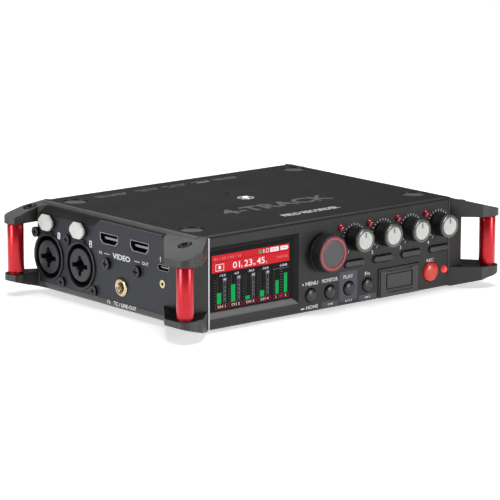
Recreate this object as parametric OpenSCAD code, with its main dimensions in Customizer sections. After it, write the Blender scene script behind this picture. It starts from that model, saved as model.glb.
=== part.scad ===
// Portable field recorder: a flat metal case with four corner ears and posts.
// Millimetres. X runs to the right seen from the front, the front faces -Y, Z is up,
// and the origin is at the middle of the footprint, on the surface the feet stand on.

/* [Case] */
// Width of the case across its two side panels
case_w = 172.4; // [168:0.2:210]
// Depth of the case from the front bezel to the rear panel
case_d = 126.2; // [118:0.2:160]
// Height of the case without its feet
case_h = 45; // [42:0.5:56]
// Wall of the cast covers
cover_wall = 2; // [1.5:0.1:2.4]
// Thickness of the side and rear panels
panel_t = 2; // [1.6:0.1:2.4]
// Radius of the covers' rounded side edges
edge_r = 8; // [7:0.5:9]
// How far the covers' side edges come down
edge_drop = 5.2; // [4.6:0.1:5.6]
// Chamfer along the covers' rear edges
rear_chamfer = 2.2; // [1:0.1:2.4]
// Thickness of the front bezel
bezel_t = 3; // [2.4:0.1:4]
// Depth of the bezel's top and bottom lips
bezel_lip = 4.1; // [3.6:0.1:6]

/* [Ears and posts] */
// Radius of a corner post
post_r = 4.1; // [3.6:0.1:5]
// Distance from the side panel out to the post's axis
post_out = 11.15; // [10:0.05:14]
// Distance from the bezel forward to the front posts' axes
post_ahead = 7.3; // [6:0.1:10]
// Distance from the rear panel back to the rear posts' axes
post_behind = 0.5; // [0:0.1:4]
// Radius of an ear's nose round its post
nose_r = 5.5; // [5.2:0.1:7]
// Height of the gap between an upper and a lower ear
ear_gap = 25.5; // [22:0.5:34]
// Thickness of an ear at its nose
ear_tip = 3.1; // [2.4:0.1:4]
// Depth of the post's spigots in the ears
spigot = 1.5; // [1:0.1:2]

/* [Screen] */
// Width of the screen window
lcd_w = 51; // [44:0.5:54]
// Height of the screen window
lcd_h = 29.2; // [24:0.2:30]
// Centre of the window across the front
lcd_x = -50.6; // [-54:0.1:-48]
// Centre of the window above the footprint
lcd_z = 24.1; // [22:0.1:26]
// Depth of the window under the bezel's face
lcd_sunk = 1.2; // [0.8:0.1:1.6]
// Width of the surround's slope at the right of the window
slope_right = 3.4; // [1:0.1:3.6]
// Height of the surround's slope under the window
slope_low = 2.9; // [1:0.1:3.4]
// Height of the surround's slope over the window
slope_top = 2.4; // [1:0.1:2.6]

/* [Dial] */
// Radius of the dial's skirt
dial_r = 9.7; // [8:0.1:10]
// Centre of the dial across the front
dial_x = -6.1; // [-8:0.1:-5]
// Centre of the dial above the footprint
dial_z = 29.9; // [28:0.1:31]
// How far the dial stands off the bezel
dial_proud = 7.6; // [6:0.1:12]
// How far the dial pushes in
dial_push = 0.6; // [0.3:0.1:1]

/* [Gain knobs] */
// Radius of a gain knob
gain_r = 5.9; // [5:0.1:6.4]
// Spacing of the gain knobs and of the channel keys
gain_pitch = 18.8; // [17:0.1:19.6]
// Centre of the first gain knob across the front
gain_x = 13.8; // [12:0.1:15]
// Centre of the gain knobs above the footprint
gain_z = 34; // [33:0.1:35]
// How far a gain knob stands off the bezel
gain_proud = 8.6; // [7:0.1:14]

/* [Keys] */
// Width of a channel key's slot
slim_w = 13.6; // [11:0.1:14.4]
// Height of a channel key's slot
slim_h = 4; // [3.2:0.1:4.6]
// Centre of the channel keys above the footprint
slim_z = 21.6; // [20:0.1:22]
// Radius of a round key's hole
round_r = 3.65; // [3:0.05:4]
// Spacing of the round keys
round_pitch = 12.3; // [11:0.1:12.6]
// Centre of the first round key across the front
round_x = -14.1; // [-15:0.1:-13]
// Centre of the round keys above the footprint
round_z = 9.6; // [9:0.1:11]
// Radius of the record button's hole
rec_r = 5.2; // [4:0.1:5.6]
// Centre of the record button across the front
rec_x = 65; // [64:0.1:66]
// Centre of the record button above the footprint
rec_z = 10.4; // [9:0.1:11]
// How far the keys push in
key_travel = 0.8; // [0.4:0.1:1]

/* [Adapter cover] */
// Width of the opening for the wireless adapter's cover
bay_w = 27.6; // [24:0.2:28]
// Height of the opening above the case's underside
bay_h = 15.2; // [12:0.2:16]
// Centre of the opening across the front
bay_x = 43.4; // [42:0.1:44]

/* [Combo jacks] */
// Radius of a combo jack's flange
jack_r = 12; // [11:0.1:12.2]
// Radius of the barrel's inside, which takes a round plug
jack_inner_r = 10.4; // [10:0.1:10.6]
// Radius of the insert in the middle
insert_r = 8.35; // [8:0.05:8.8]
// Radius of the hole for a quarter-inch plug
plug_r = 3.2; // [3.18:0.01:3.3]
// Depth of the plug's hole
plug_depth = 20; // [14:0.5:24]
// Spacing of the two jacks on one side
jack_pitch = 25.9; // [25.4:0.1:28]
// Centre of the left side's front jack along the side
left_jack_y = 28.1; // [27.5:0.1:28.5]
// Centre of the right side's front jack along the side
right_jack_y = 11.6; // [10:0.1:14]
// Height of the left side's jacks
left_jack_z = 19.8; // [19:0.1:21]
// Height of the right side's jacks
right_jack_z = 22.2; // [20:0.1:22.4]
// How far a latch tab pushes in
tab_travel = 1.1; // [0.6:0.1:1.2]

/* [Small sockets] */
// Radius of a small stereo jack's hole
mini_r = 1.8; // [1.76:0.01:1.9]
// Radius of a small stereo jack's bushing
mini_bush_r = 4.6; // [3.8:0.1:4.8]
// Width of a video socket
video_w = 14.4; // [13.9:0.1:15]
// Height of a video socket
video_h = 5.6; // [4.6:0.1:6]
// Width of the data socket
data_w = 9; // [8.9:0.05:9.4]
// Height of the data socket
data_h = 3.2; // [3.1:0.05:3.4]

/* [Threads and feet] */
// Radius of the tripod threads' cores
tripod_r = 2.6; // [2.5:0.05:2.8]
// Radius of the tripod inserts
insert_body_r = 4.5; // [4.2:0.1:5.5]
// Height of the feet below the case
foot_h = 1.2; // [1:0.1:3]
// Radius of a foot
foot_r = 5.6; // [4:0.1:6]
// Distance of the feet from the case's middle line
foot_x = 71.5; // [60:0.5:72]

/* [Battery bay] */
// Radius of a cell
cell_r = 7.2; // [7:0.05:7.25]
// Length of a cell
cell_l = 50.2; // [49:0.1:50.5]
// Height of the battery door
door_h = 31; // [30:0.2:32]

/* [Clearances] */
// Gap round moving keys and covers
key_gap = 0.4; // [0.3:0.05:0.5]
// Gap of a shaft that turns in a bore
shaft_gap = 0.05; // [0.02:0.01:0.09]
// Gap between fixed parts
seam = 0.15; // [0.1:0.05:0.3]

/* [Hidden] */
// smooth curves
$fn = 64;

// the case's faces
ear_ahead = post_ahead + nose_r;
ear_behind = post_behind + nose_r;
front_y = -(case_d + ear_ahead + ear_behind) / 2 + ear_ahead;
rear_y = front_y + case_d;
base_z = foot_h;
top_z = foot_h + case_h;
mid_z = foot_h + case_h / 2;
side_x = case_w / 2;
shoulder_x = side_x - sqrt(edge_r * edge_r - pow(edge_r - edge_drop, 2));
seam_top = top_z - edge_drop;
seam_low = base_z + edge_drop;
cover_front = front_y + bezel_lip;
inner_y = front_y + bezel_t;
panel_in = side_x - panel_t;

// the posts and ears
post_x = side_x + post_out;
post_front = front_y - post_ahead;
post_rear = rear_y + post_behind;
ear_low = mid_z + ear_gap / 2;
nose_x = post_x + nose_r;
nose_top = ear_low + ear_tip;
spigot_r = post_r * 0.55;
screw_x = side_x + 2.4;
screw_front = front_y + 3.6;
screw_rear = rear_y + 0.3;
screw_head_r = 2.8;
screw_recess_r = 3.4;
screw_shank_r = 1.5;
trim_x = shoulder_x - 1.75;
trim_w = 0.9;
trim_sunk = 0.6;
trim_proud = 0.3;
bezel_x = trim_x + trim_w + 0.1;
bezel_chamfer = 1.1;
slope_left = 0.8;

// the boards behind the bezel
switch_y = front_y + 6.4;
board_y = front_y + 8.4;
board_t = 1.6;
key_flange_y = inner_y + 0.3;
key_flange_t = 1;
lamp_r = 1.9;
peak_dx = -8.9;
peak_z = gain_z + 6.3;
rec_lamp_x = rec_x + 9.2;
bay_low = base_z;
bay_top = base_z + bay_h;

// the sides
jack_proud = 1;
barrel_r = jack_r - 0.5;
barrel_l = 26;
jack_floor = 2.4;
tab_w = 11.2;
tab_h = 8;
tab_t = 1.4;
tab_lift = 17.4;
stem_w = 4;
stem_h = 2.6;
stem_drop = 1.6;
hump_rear = 16.3;
hump_front = -38;
hump_top = top_z - 2;
hump_cut = 3;
video_z = 36.1;
video_y = [5.4, -18.4];
video_deep = 11;
clamp_z = 24;
clamp_dy = 1.5;
clamp_r = 3;
mini_z = 14.4;
left_mini_y = -4.6;
right_mini_y = [-12, -26];
mini_l = 14;
data_y = -36.8;
data_z = 29;
lock_y = -36.2;
lock_z = 21.2;
lock_r = 0.8;
card_y = -30;
card_z = 31;
card_w = 24.6;
card_h = 2.7;
switch_slot_y = -10;
switch_slot_z = 31;
switch_slot_w = 13;
switch_slot_h = 4;
slider_w = 6.4;

// the battery bay
tray_t = 1.2;
cell_gap = 0.3;
tray_w = 2 * cell_l + 6;
tray_d = 2 * cell_r + 2 * cell_gap;
tray_h = 4 * cell_r + 3 * cell_gap;
chamber_w = (tray_w - tray_t) / 2;
door_t = 2.5;
door_w = tray_w + 2 * tray_t + 2;
door_low = 8.2;
door_axis_y = rear_y - door_t / 2;
door_axis_z = door_low + door_t / 2;
door_top = door_low + door_h;
pin_r = 0.8;
latch_w = 16;
latch_h = 7;
tray_back = rear_y - door_t - 0.6;
tray_low = door_low + (door_h - tray_h) / 2;

// the main board
main_z = 31.2;
main_front = board_y + board_t + 0.6;
main_rear = tray_back - tray_d - tray_t - 1.4;
jack_clear = side_x - barrel_l - 2;
left_board_end = left_jack_y - jack_r - 2;
right_board_end = right_jack_y - jack_r - 2;
column_x = jack_clear - 10;
column_y = [main_front + 11, main_rear - 14];
thread_y = 5.9;
key_pin_y = 21;
foot_front = -40;
foot_rear = 52;
pocket_r = foot_r + 0.6;
pocket_deep = 0.8;

gains = [1:4];
sides = [-1, 1];
round_names = ["menu_key", "monitor_key", "play_key", "function_key"];

// ---------- shared shapes ----------

// rectangle with round corners, centred
module round_rect(w, h, r) {
  square([w - 2 * r, h], center = true);
  square([w, h - 2 * r], center = true);
  for (sx = sides, sy = sides) translate([sx * (w / 2 - r), sy * (h / 2 - r)]) circle(r);
}

// slot with half-round ends, centred
module obround(w, h) {
  square([w - h, h], center = true);
  for (s = sides) translate([s * (w - h) / 2, 0]) circle(h / 2);
}

// an (x, z) outline made into a plate from y0 to y0 + t
module front_plate(y0, t) {
  translate([0, y0 + t, 0]) rotate([90, 0, 0]) linear_extrude(t) children();
}

// a (y, z) outline made into a plate from x0 to x0 + t
module side_plate(x0, t) {
  translate([x0, 0, 0]) rotate([90, 0, 90]) linear_extrude(t) children();
}

// a cylinder that runs back from y0
module y_rod(x, z, y0, r, l, r2 = undef) {
  translate([x, y0, z]) rotate([-90, 0, 0]) cylinder(h = l, r1 = r, r2 = is_undef(r2) ? r : r2);
}

// a cylinder that runs to +X from x0
module x_rod(y, z, x0, r, l) {
  translate([x0, y, z]) rotate([0, 90, 0]) cylinder(h = l, r = r);
}

// a box from one corner to the other
module box(a, b) {
  translate(a) cube(b - a);
}

// puts a child made for the right-hand side on the left (s = -1) or right (s = 1)
module on_side(s) {
  if (s > 0) children();
  else mirror([1, 0, 0]) children();
}

// puts a child made for the case's top on its underside too
module low_side() {
  translate([0, 0, 2 * mid_z]) mirror([0, 0, 1]) children();
}

// a screw head with a cross recess and its shank, pointing down
module screw(head_r, head_h, shank_r, shank_l) {
  difference() {
    union() {
      cylinder(h = head_h, r = head_r);
      translate([0, 0, -shank_l]) cylinder(h = shank_l, r = shank_r);
    }
    for (a = [0, 90]) rotate([0, 0, a])
      translate([-head_r * 0.6, -0.35, head_h * 0.4]) cube([head_r * 1.2, 0.7, head_h]);
  }
}

// ---------- covers ----------

// half outline of a cover's end, from its seam up
module cover_end(inset, low) {
  difference() {
    union() {
      translate([-shoulder_x, low]) square([2 * shoulder_x, top_z - inset - low]);
      for (s = sides) translate([s * shoulder_x, top_z - edge_r]) circle(edge_r - inset);
    }
    translate([-case_w, low - 4 * edge_r]) square([2 * case_w, 4 * edge_r]);
  }
}

// outline of a cover's side, chamfered at the rear
module cover_flank(inset, low) {
  back = rear_y - inset;
  roof = top_z - inset;
  polygon([
    [cover_front - inset, low], [back, low], [back, roof - rear_chamfer],
    [back - rear_chamfer, roof], [cover_front - inset, roof]
  ]);
}

module cover_form(inset, low) {
  intersection() {
    front_plate(front_y - 1, case_d + 2) cover_end(inset, low);
    side_plate(-side_x, case_w) cover_flank(inset, low);
  }
}

// plan of the front ear on the right
module front_ear_plan() {
  polygon([
    [shoulder_x - 0.6, front_y + 26], [shoulder_x - 0.6, front_y],
    [side_x + 4, front_y - 11.4], [post_x - 3.4, front_y - ear_ahead + 0.9],
    [post_x, post_front - nose_r], [nose_x, post_front],
    [nose_x, post_front + 8.5], [side_x + 0.6, front_y + 22]
  ]);
  translate([post_x, post_front]) circle(nose_r);
}

// plan of the rear ear on the right
module rear_ear_plan() {
  polygon([
    [shoulder_x - 0.6, rear_y - 13], [side_x + 0.6, rear_y - 4],
    [nose_x - 1.4, rear_y - 4.6], [nose_x, post_rear],
    [post_x, post_rear + nose_r], [side_x + 3, rear_y + 5.6],
    [shoulder_x - 0.6, rear_y]
  ]);
  translate([post_x, post_rear]) circle(nose_r);
}

// the space that an upper ear's sloping wedge fills, seen from the front
module ear_wedge(low) {
  polygon([
    [shoulder_x - 0.6, low], [nose_x + 1, low], [nose_x + 1, nose_top],
    [nose_x, nose_top], [shoulder_x, top_z], [shoulder_x - 0.6, top_z]
  ]);
}

module upper_ear() {
  difference() {
    intersection() {
      linear_extrude(top_z + 1) children();
      front_plate(front_y - 30, case_d + 60) ear_wedge(ear_low);
    }
    box([0, front_y - seam, 0], [side_x + seam, rear_y + 0.05, seam_top]);
  }
}

module cover_casting() {
  difference() {
    union() {
      difference() {
        cover_form(0, seam_top);
        cover_form(cover_wall, seam_top - 1);
      }
      for (s = sides) on_side(s) {
        upper_ear() front_ear_plan();
        upper_ear() rear_ear_plan();
      }
      translate([0, thread_y, ear_low]) cylinder(h = top_z - ear_low - 0.5, r = insert_body_r + 3);
    }
    for (s = sides) on_side(s) {
      box([shoulder_x - 1, cover_front + 0.01, 0], [panel_in, rear_y - cover_wall, seam_top - 0.01]);
      for (y = [post_front, post_rear])
        translate([post_x, y, ear_low - 1]) cylinder(h = 1 + spigot, r = spigot_r);
      for (y = [screw_front, screw_rear]) translate([screw_x, y, 0]) {
        cylinder(h = top_z, r = screw_shank_r);
        translate([0, 0, top_z - 4.6]) cylinder(h = 5, r = screw_recess_r);
      }
    }
    translate([0, thread_y, ear_low - 1]) cylinder(h = case_h, r = insert_body_r);
  }
}

module hump_outline(grow) {
  rear = hump_rear + grow;
  front = hump_front - grow;
  roof = hump_top + grow;
  polygon([
    [rear, seam_top - 8], [rear, roof - hump_cut], [rear - hump_cut, roof],
    [front + hump_cut, roof], [front, roof - hump_cut], [front, seam_top - 8]
  ]);
}

module top_cover() color([0.13, 0.13, 0.14]) difference() {
  cover_casting();
  side_plate(-side_x - 1, 1 + panel_t + seam) hump_outline(seam);
  for (x = sides, y = [foot_front, foot_rear])
    translate([x * foot_x, y, top_z - pocket_deep]) cylinder(h = 1, r = pocket_r);
  translate([0, key_pin_y, top_z - 1.6]) linear_extrude(2) obround(5.2, 2.2);
}

module bottom_cover() color([0.12, 0.12, 0.13]) difference() {
  union() {
    low_side() cover_casting();
    // columns that hold the main board
    for (x = sides, y = column_y)
      translate([x * column_x, y, base_z + 1]) cylinder(h = main_z - base_z - 1, r = 3);
  }
  for (x = sides, y = [foot_front, foot_rear])
    translate([x * foot_x, y, base_z - 1]) cylinder(h = 1 + pocket_deep, r = foot_r);
}

// ---------- panels ----------

module bezel_face() {
  difference() {
    union() {
      translate([-bezel_x, base_z + 0.2]) square([2 * bezel_x, case_h - 0.4]);
      translate([-side_x, seam_low + seam]) square([2 * side_x, seam_top - seam_low - 2 * seam]);
    }
    translate([lcd_x, lcd_z]) round_rect(lcd_w, lcd_h, 0.8);
    translate([dial_x, dial_z]) circle(4.9);
    for (i = gains) translate([gain_x + gain_pitch * (i - 1), 0]) {
      translate([0, gain_z]) circle(3.6);
      translate([0, slim_z]) obround(slim_w, slim_h);
      translate([peak_dx, peak_z]) circle(lamp_r);
    }
    for (i = [0:3]) translate([round_x + round_pitch * i, round_z]) circle(round_r);
    translate([rec_x, rec_z]) circle(rec_r);
    translate([rec_lamp_x, rec_z]) circle(lamp_r);
    translate([bay_x - bay_w / 2, bay_low - 1]) square([bay_w, bay_h + 1]);
  }
}

module front_bezel() color([0.2, 0.19, 0.19]) difference() {
  union() {
    front_plate(front_y, bezel_t) bezel_face();
    // the lips that run back to the covers
    box([-bezel_x, front_y, top_z - 2], [bezel_x, cover_front - seam, top_z - 0.2]);
    difference() {
      box([-bezel_x, front_y, base_z + 0.2], [bezel_x, cover_front - seam, base_z + 2]);
      box([bay_x - bay_w / 2, front_y - 1, 0], [bay_x + bay_w / 2, cover_front, bay_top]);
    }
    // corner pillars behind the ears
    for (s = sides) on_side(s)
      box([shoulder_x - 0.5, front_y + 0.5, seam_low + seam], [side_x, front_y + 7.5, seam_top - seam]);
  }
  window_surround();
  // grooves for the bright edge trims
  for (s = sides) on_side(s)
    box([trim_x, front_y - 1, base_z], [trim_x + trim_w, front_y + trim_sunk, top_z]);
  // chamfers along the top and bottom edges
  for (z = [base_z + 0.2, top_z - 0.2]) translate([0, front_y, z])
    rotate([45, 0, 0]) cube([case_w, bezel_chamfer, bezel_chamfer], center = true);
  side_cuts();
}

// the space in front of the window, which slopes out to the bezel's face
module window_surround() {
  low = lcd_z - lcd_h / 2;
  high = lcd_z + lcd_h / 2;
  left = lcd_x - lcd_w / 2;
  right = lcd_x + lcd_w / 2;
  hull() {
    box([left, front_y + lcd_sunk - 0.1, low], [right, front_y + lcd_sunk, high]);
    box([left - slope_left, front_y - 0.1, low - slope_low],
      [right + slope_right, front_y, high + slope_top]);
  }
}

// cuts in the pillars that let the side panels seat
module side_cuts() {
  for (s = sides) on_side(s)
    box([panel_in - seam, front_y + 4, 0], [side_x + 1, front_y + 9, top_z]);
}

module side_wall() {
  translate([front_y + 4.2, seam_low + seam])
    square([case_d - 4.2 - door_t - seam, seam_top - seam_low - 2 * seam]);
}

module jack_holes(y0, z0) {
  for (k = [0, 1]) translate([y0 + k * jack_pitch, z0]) {
    circle(barrel_r + 0.05);
    for (s = sides) translate([s * 10.7, s * 11]) circle(1.2);
    translate([-stem_w / 2 - key_gap, tab_lift - stem_drop - stem_h / 2 - key_gap])
      square([stem_w + 2 * key_gap, stem_h + 2 * key_gap]);
  }
}

module left_panel() color([0.17, 0.18, 0.21]) side_plate(-side_x, panel_t) difference() {
  union() {
    side_wall();
    intersection() {
      hump_outline(0);
      translate([-case_d, seam_top - 1]) square([2 * case_d, case_h]);
    }
  }
  jack_holes(left_jack_y, left_jack_z);
  for (y = video_y) {
    translate([y, video_z]) video_outline(0.1);
    translate([y + clamp_dy, clamp_z]) circle(1.2);
  }
  translate([left_mini_y, mini_z]) circle(mini_bush_r - 1);
  translate([data_y, data_z]) obround(data_w + 0.2, data_h + 0.2);
  translate([lock_y, lock_z]) circle(2);
}

module right_panel() color([0.17, 0.18, 0.21]) side_plate(panel_in, panel_t) difference() {
  side_wall();
  jack_holes(right_jack_y, right_jack_z);
  for (y = right_mini_y) translate([y, mini_z]) circle(mini_bush_r - 1);
  translate([card_y, card_z]) round_rect(card_w + 0.2, card_h + 0.2, 0.6);
  translate([switch_slot_y, switch_slot_z]) obround(switch_slot_w, switch_slot_h);
}

module rear_panel() color([0.15, 0.15, 0.16]) difference() {
  front_plate(rear_y - door_t, door_t) difference() {
    translate([-panel_in + seam, seam_low + seam])
      square([2 * (panel_in - seam), seam_top - seam_low - 2 * seam]);
    translate([-door_w / 2 - key_gap, door_low - 0.35])
      square([door_w + 2 * key_gap, door_h + 0.35 + key_gap]);
  }
  x_rod(door_axis_y, door_axis_z, -door_w / 2 - 4, pin_r, door_w + 8);
  each_jack() cylinder(h = barrel_l + seam, r = barrel_r + seam);
}

module edge_trims() color([0.75, 0.75, 0.77])
  for (s = sides) on_side(s)
    box([trim_x, front_y - trim_proud, base_z + 0.4], [trim_x + trim_w, front_y + trim_sunk, top_z - 0.4]);

// ---------- posts and fasteners ----------

module corner_posts() color([0.8, 0.05, 0.08])
  for (s = sides, y = [post_front, post_rear]) translate([s * post_x, y, mid_z]) {
    cylinder(h = ear_gap, r = post_r, center = true);
    cylinder(h = ear_gap + 2 * spigot, r = spigot_r, center = true);
  }

module cover_screws() color([0.1, 0.1, 0.1])
  for (s = sides, y = [screw_front, screw_rear]) {
    translate([s * screw_x, y, top_z - 4.6]) screw(screw_head_r, 1.6, screw_shank_r, top_z - 4.6 - ear_low);
    low_side() translate([s * screw_x, y, top_z - 4.6])
      screw(screw_head_r, 1.6, screw_shank_r, top_z - 4.6 - ear_low);
  }

module jack_screws() color([0.12, 0.12, 0.12])
  for (s = sides, k = [0, 1], d = sides) {
    y = (s < 0 ? left_jack_y : right_jack_y) + k * jack_pitch + d * 10.7;
    z = (s < 0 ? left_jack_z : right_jack_z) + d * 11;
    on_side(s) translate([side_x, y, z]) rotate([0, 90, 0]) screw(2.6, 1.3, 1.2, panel_t);
  }

module clamp_screws() color([0.1, 0.1, 0.1])
  for (y = video_y) translate([-side_x, y + clamp_dy, clamp_z]) rotate([0, -90, 0])
    screw(clamp_r, 1.6, 1.2, 6);

// ---------- screen ----------

module lcd_window() color([0.05, 0.05, 0.06])
  translate([lcd_x, 0, lcd_z]) front_plate(front_y + lcd_sunk, 1)
    round_rect(lcd_w - 2 * seam, lcd_h - 2 * seam, 0.6);

module lcd_module() color([0.3, 0.32, 0.34])
  translate([lcd_x, 0, lcd_z]) front_plate(front_y + lcd_sunk + 1, board_y - front_y - lcd_sunk - 1)
    round_rect(lcd_w - 2 * seam, lcd_h - 2 * seam, 0.6);

// ---------- dial ----------

dial_back = front_y - 2 * dial_push;
dial_front = front_y - dial_proud;
ring_r = dial_r - 1;
ring_w = 1;
ring_t = 0.8;

module dial_knob() color([0.12, 0.12, 0.12]) difference() {
  union() {
    y_rod(dial_x, dial_z, dial_front + 0.6, dial_r - 0.35, dial_back - dial_front - 0.6, dial_r);
    y_rod(dial_x, dial_z, dial_front, dial_r - 0.95, 0.6, dial_r - 0.35);
  }
  y_rod(dial_x, dial_z, dial_front + 1.8, 3 + shaft_gap, dial_proud);
  difference() {
    y_rod(dial_x, dial_z, dial_front - 0.1, ring_r, ring_t + 0.1);
    y_rod(dial_x, dial_z, dial_front - 1, ring_r - ring_w, ring_t + 2);
  }
}

module dial_ring() color([0.85, 0.08, 0.12]) difference() {
  y_rod(dial_x, dial_z, dial_front - 0.1, ring_r, ring_t + 0.1);
  y_rod(dial_x, dial_z, dial_front - 1, ring_r - ring_w, ring_t + 2);
}

module dial_shaft() color([0.7, 0.7, 0.72])
  y_rod(dial_x, dial_z, dial_front + 2, 3, board_y - 1 - dial_front - 2);

module dial_encoder() color([0.25, 0.3, 0.28]) difference() {
  union() {
    y_rod(dial_x, dial_z, front_y + 0.6, 4.5, 3);
    box([dial_x - 6.5, inner_y, dial_z - 6.5], [dial_x + 6.5, board_y, dial_z + 6.5]);
  }
  y_rod(dial_x, dial_z, front_y - 1, 3 + shaft_gap, board_y - front_y + 2);
}

// ---------- gain knobs ----------

function gain_at(i) = gain_x + gain_pitch * (i - 1);
gain_front = front_y - gain_proud;
cap_r = gain_r - 1;
cap_t = 1;

module gain_knob(i) color([0.1, 0.1, 0.1]) difference() {
  y_rod(gain_at(i), gain_z, gain_front, gain_r - 0.2, gain_proud - 0.6, gain_r);
  y_rod(gain_at(i), gain_z, gain_front - 1, cap_r, 1 + cap_t - 0.2);
  y_rod(gain_at(i), gain_z, gain_front + 2.2, 1.5 + shaft_gap, gain_proud);
}

module gain_cap(i) color([0.92, 0.92, 0.9]) difference() {
  y_rod(gain_at(i), gain_z, gain_front - 0.2, cap_r, cap_t);
  box([gain_at(i) - 0.35, gain_front - 1, gain_z + 1], [gain_at(i) + 0.35, gain_front, gain_z + cap_r - 0.6]);
}

module gain_pots() color([0.3, 0.34, 0.3])
  for (i = gains) {
    y_rod(gain_at(i), gain_z, gain_front + 2.6, 1.5, gain_proud + 3);
    y_rod(gain_at(i), gain_z, front_y + 0.4, 3.2, 3);
    box([gain_at(i) - 5, inner_y + 0.1, gain_z - 5], [gain_at(i) + 5, board_y, gain_z + 5]);
  }

// ---------- keys ----------

module key_body(x, z, proud, flange_w, flange_h) {
  translate([x, 0, z]) {
    front_plate(front_y - proud, key_flange_y + key_flange_t - front_y + proud) children();
    front_plate(key_flange_y, key_flange_t) obround(flange_w, flange_h);
    y_rod(0, 0, key_flange_y, 1.2, switch_y - key_flange_y);
  }
}

module channel_key(i) color([0.16, 0.16, 0.16])
  key_body(gain_at(i), slim_z, 1.3, slim_w + 1, slim_h + 1)
    obround(slim_w - 2 * key_gap, slim_h - 2 * key_gap);

module round_key(k) color([0.14, 0.14, 0.14]) {
  r = round_r - key_gap;
  x = round_x + round_pitch * k;
  key_body(x, round_z, 0.8, 2 * round_r + 1.6, 2 * round_r + 1.5) circle(r);
  y_rod(x, round_z, front_y - 1.4, r - 0.7, 0.6, r);
}

module rec_button() color([0.85, 0.1, 0.08]) {
  r = rec_r - key_gap;
  key_body(rec_x, rec_z, 1, 2 * rec_r + 1.6, 2 * rec_r + 1.5) circle(r);
  dome_r = 12;
  // a shallow dome on the button's face
  translate([rec_x, front_y - 1, rec_z]) rotate([90, 0, 0]) rotate_extrude() intersection() {
    translate([0, 1.2 - dome_r]) circle(dome_r, $fn = 128);
    square([r, 2]);
  }
}

module lamp(x, z) {
  y_rod(x, z, front_y - 0.3, lamp_r - 0.02, board_y - front_y - 1.5);
  translate([x, front_y - 0.3, z]) rotate([90, 0, 0]) rotate_extrude() intersection() {
    circle(lamp_r - 0.02);
    square([lamp_r, lamp_r]);
  }
}

module signal_lamps() color([0.9, 0.1, 0.15]) {
  for (i = gains) lamp(gain_at(i) + peak_dx, peak_z);
  lamp(rec_lamp_x, rec_z);
}

// ---------- adapter bay ----------

module adapter_cover() color([0.18, 0.18, 0.18]) {
  w = bay_w - 2 * key_gap;
  h = bay_h - key_gap - 0.4;
  low = bay_low + 0.4;
  pad_w = 16.4;
  pad_h = 6.8;
  pad_z = low + h / 2 + 0.7;
  difference() {
    union() {
      box([bay_x - w / 2, front_y - 0.4, low], [bay_x + w / 2, front_y + 2.6, low + h]);
      box([bay_x - w / 2 + 0.8, front_y - 1, low + 0.8], [bay_x + w / 2 - 0.8, front_y, low + h - 0.8]);
    }
    box([bay_x - pad_w / 2 - 0.6, front_y - 2, pad_z - pad_h / 2 - 0.6],
        [bay_x + pad_w / 2 + 0.6, front_y - 0.3, pad_z + pad_h / 2 + 0.6]);
    for (s = sides)
      box([bay_x - pad_w / 2, front_y - 2, pad_z + s * (pad_h / 2 + 1.9) - 0.4],
          [bay_x + pad_w / 2, front_y - 0.5, pad_z + s * (pad_h / 2 + 1.9) + 0.4]);
  }
  box([bay_x - pad_w / 2, front_y - 0.9, pad_z - pad_h / 2], [bay_x + pad_w / 2, front_y, pad_z + pad_h / 2]);
}

module adapter_socket() color([0.1, 0.1, 0.12]) difference() {
  box([bay_x - 9, front_y + 3.4, bay_low + 3.6], [bay_x + 9, board_y, bay_top - 4]);
  box([bay_x - 7.5, front_y + 3, bay_low + 5.6], [bay_x + 7.5, board_y - 1.2, bay_top - 6]);
}

// ---------- boards ----------

module front_board() color([0.1, 0.3, 0.18]) {
  box([-shoulder_x + 2, board_y, base_z + 3.4], [shoulder_x - 2, board_y + board_t, top_z - 5]);
  // tact switches behind the keys
  for (i = gains) key_switch(gain_at(i), slim_z);
  for (k = [0:3]) key_switch(round_x + round_pitch * k, round_z);
  key_switch(rec_x, rec_z);
}

module key_switch(x, z) {
  gap = key_travel + 0.1;
  box([x - 2.2, switch_y + gap, z - 2.2], [x + 2.2, board_y, z + 2.2]);
}

module main_board() color([0.1, 0.3, 0.18]) difference() {
  union() {
    box([-jack_clear + 2, main_front, main_z], [jack_clear - 2, main_rear, main_z + board_t]);
    box([-panel_in + 1.5, main_front, main_z], [0, left_board_end, main_z + board_t]);
    box([0, main_front, main_z], [panel_in - 1.5, right_board_end, main_z + board_t]);
  }
  translate([0, thread_y, 0]) cylinder(h = top_z, r = insert_body_r + 4);
  box([panel_in - 20, card_y - card_w / 2 - 1, 0], [panel_in, card_y + card_w / 2 + 1, top_z]);
  box([panel_in - 10, switch_slot_y - 9, 0], [panel_in, switch_slot_y + 9, top_z]);
  for (y = video_y)
    box([-side_x, y - video_w / 2 - 1, 0], [-side_x + video_deep + 1, y + video_w / 2 + 1, top_z]);
  box([-side_x, data_y - 6, 0], [-side_x + 9, data_y + 6, top_z]);
}

// ---------- combo jacks ----------

module each_jack() {
  for (s = sides, k = [0, 1]) {
    y = (s < 0 ? left_jack_y : right_jack_y) + k * jack_pitch;
    z = s < 0 ? left_jack_z : right_jack_z;
    on_side(s) translate([side_x, y, z]) rotate([0, -90, 0]) children();
  }
}

module combo_housings() color([0.08, 0.08, 0.09]) each_jack() difference() {
  union() {
    translate([0, 0, -jack_proud]) cylinder(h = jack_proud, r = jack_r);
    cylinder(h = barrel_l, r = barrel_r);
  }
  translate([0, 0, -jack_proud - 1]) cylinder(h = barrel_l + jack_proud + 1 - jack_floor, r = jack_inner_r);
}

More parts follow.
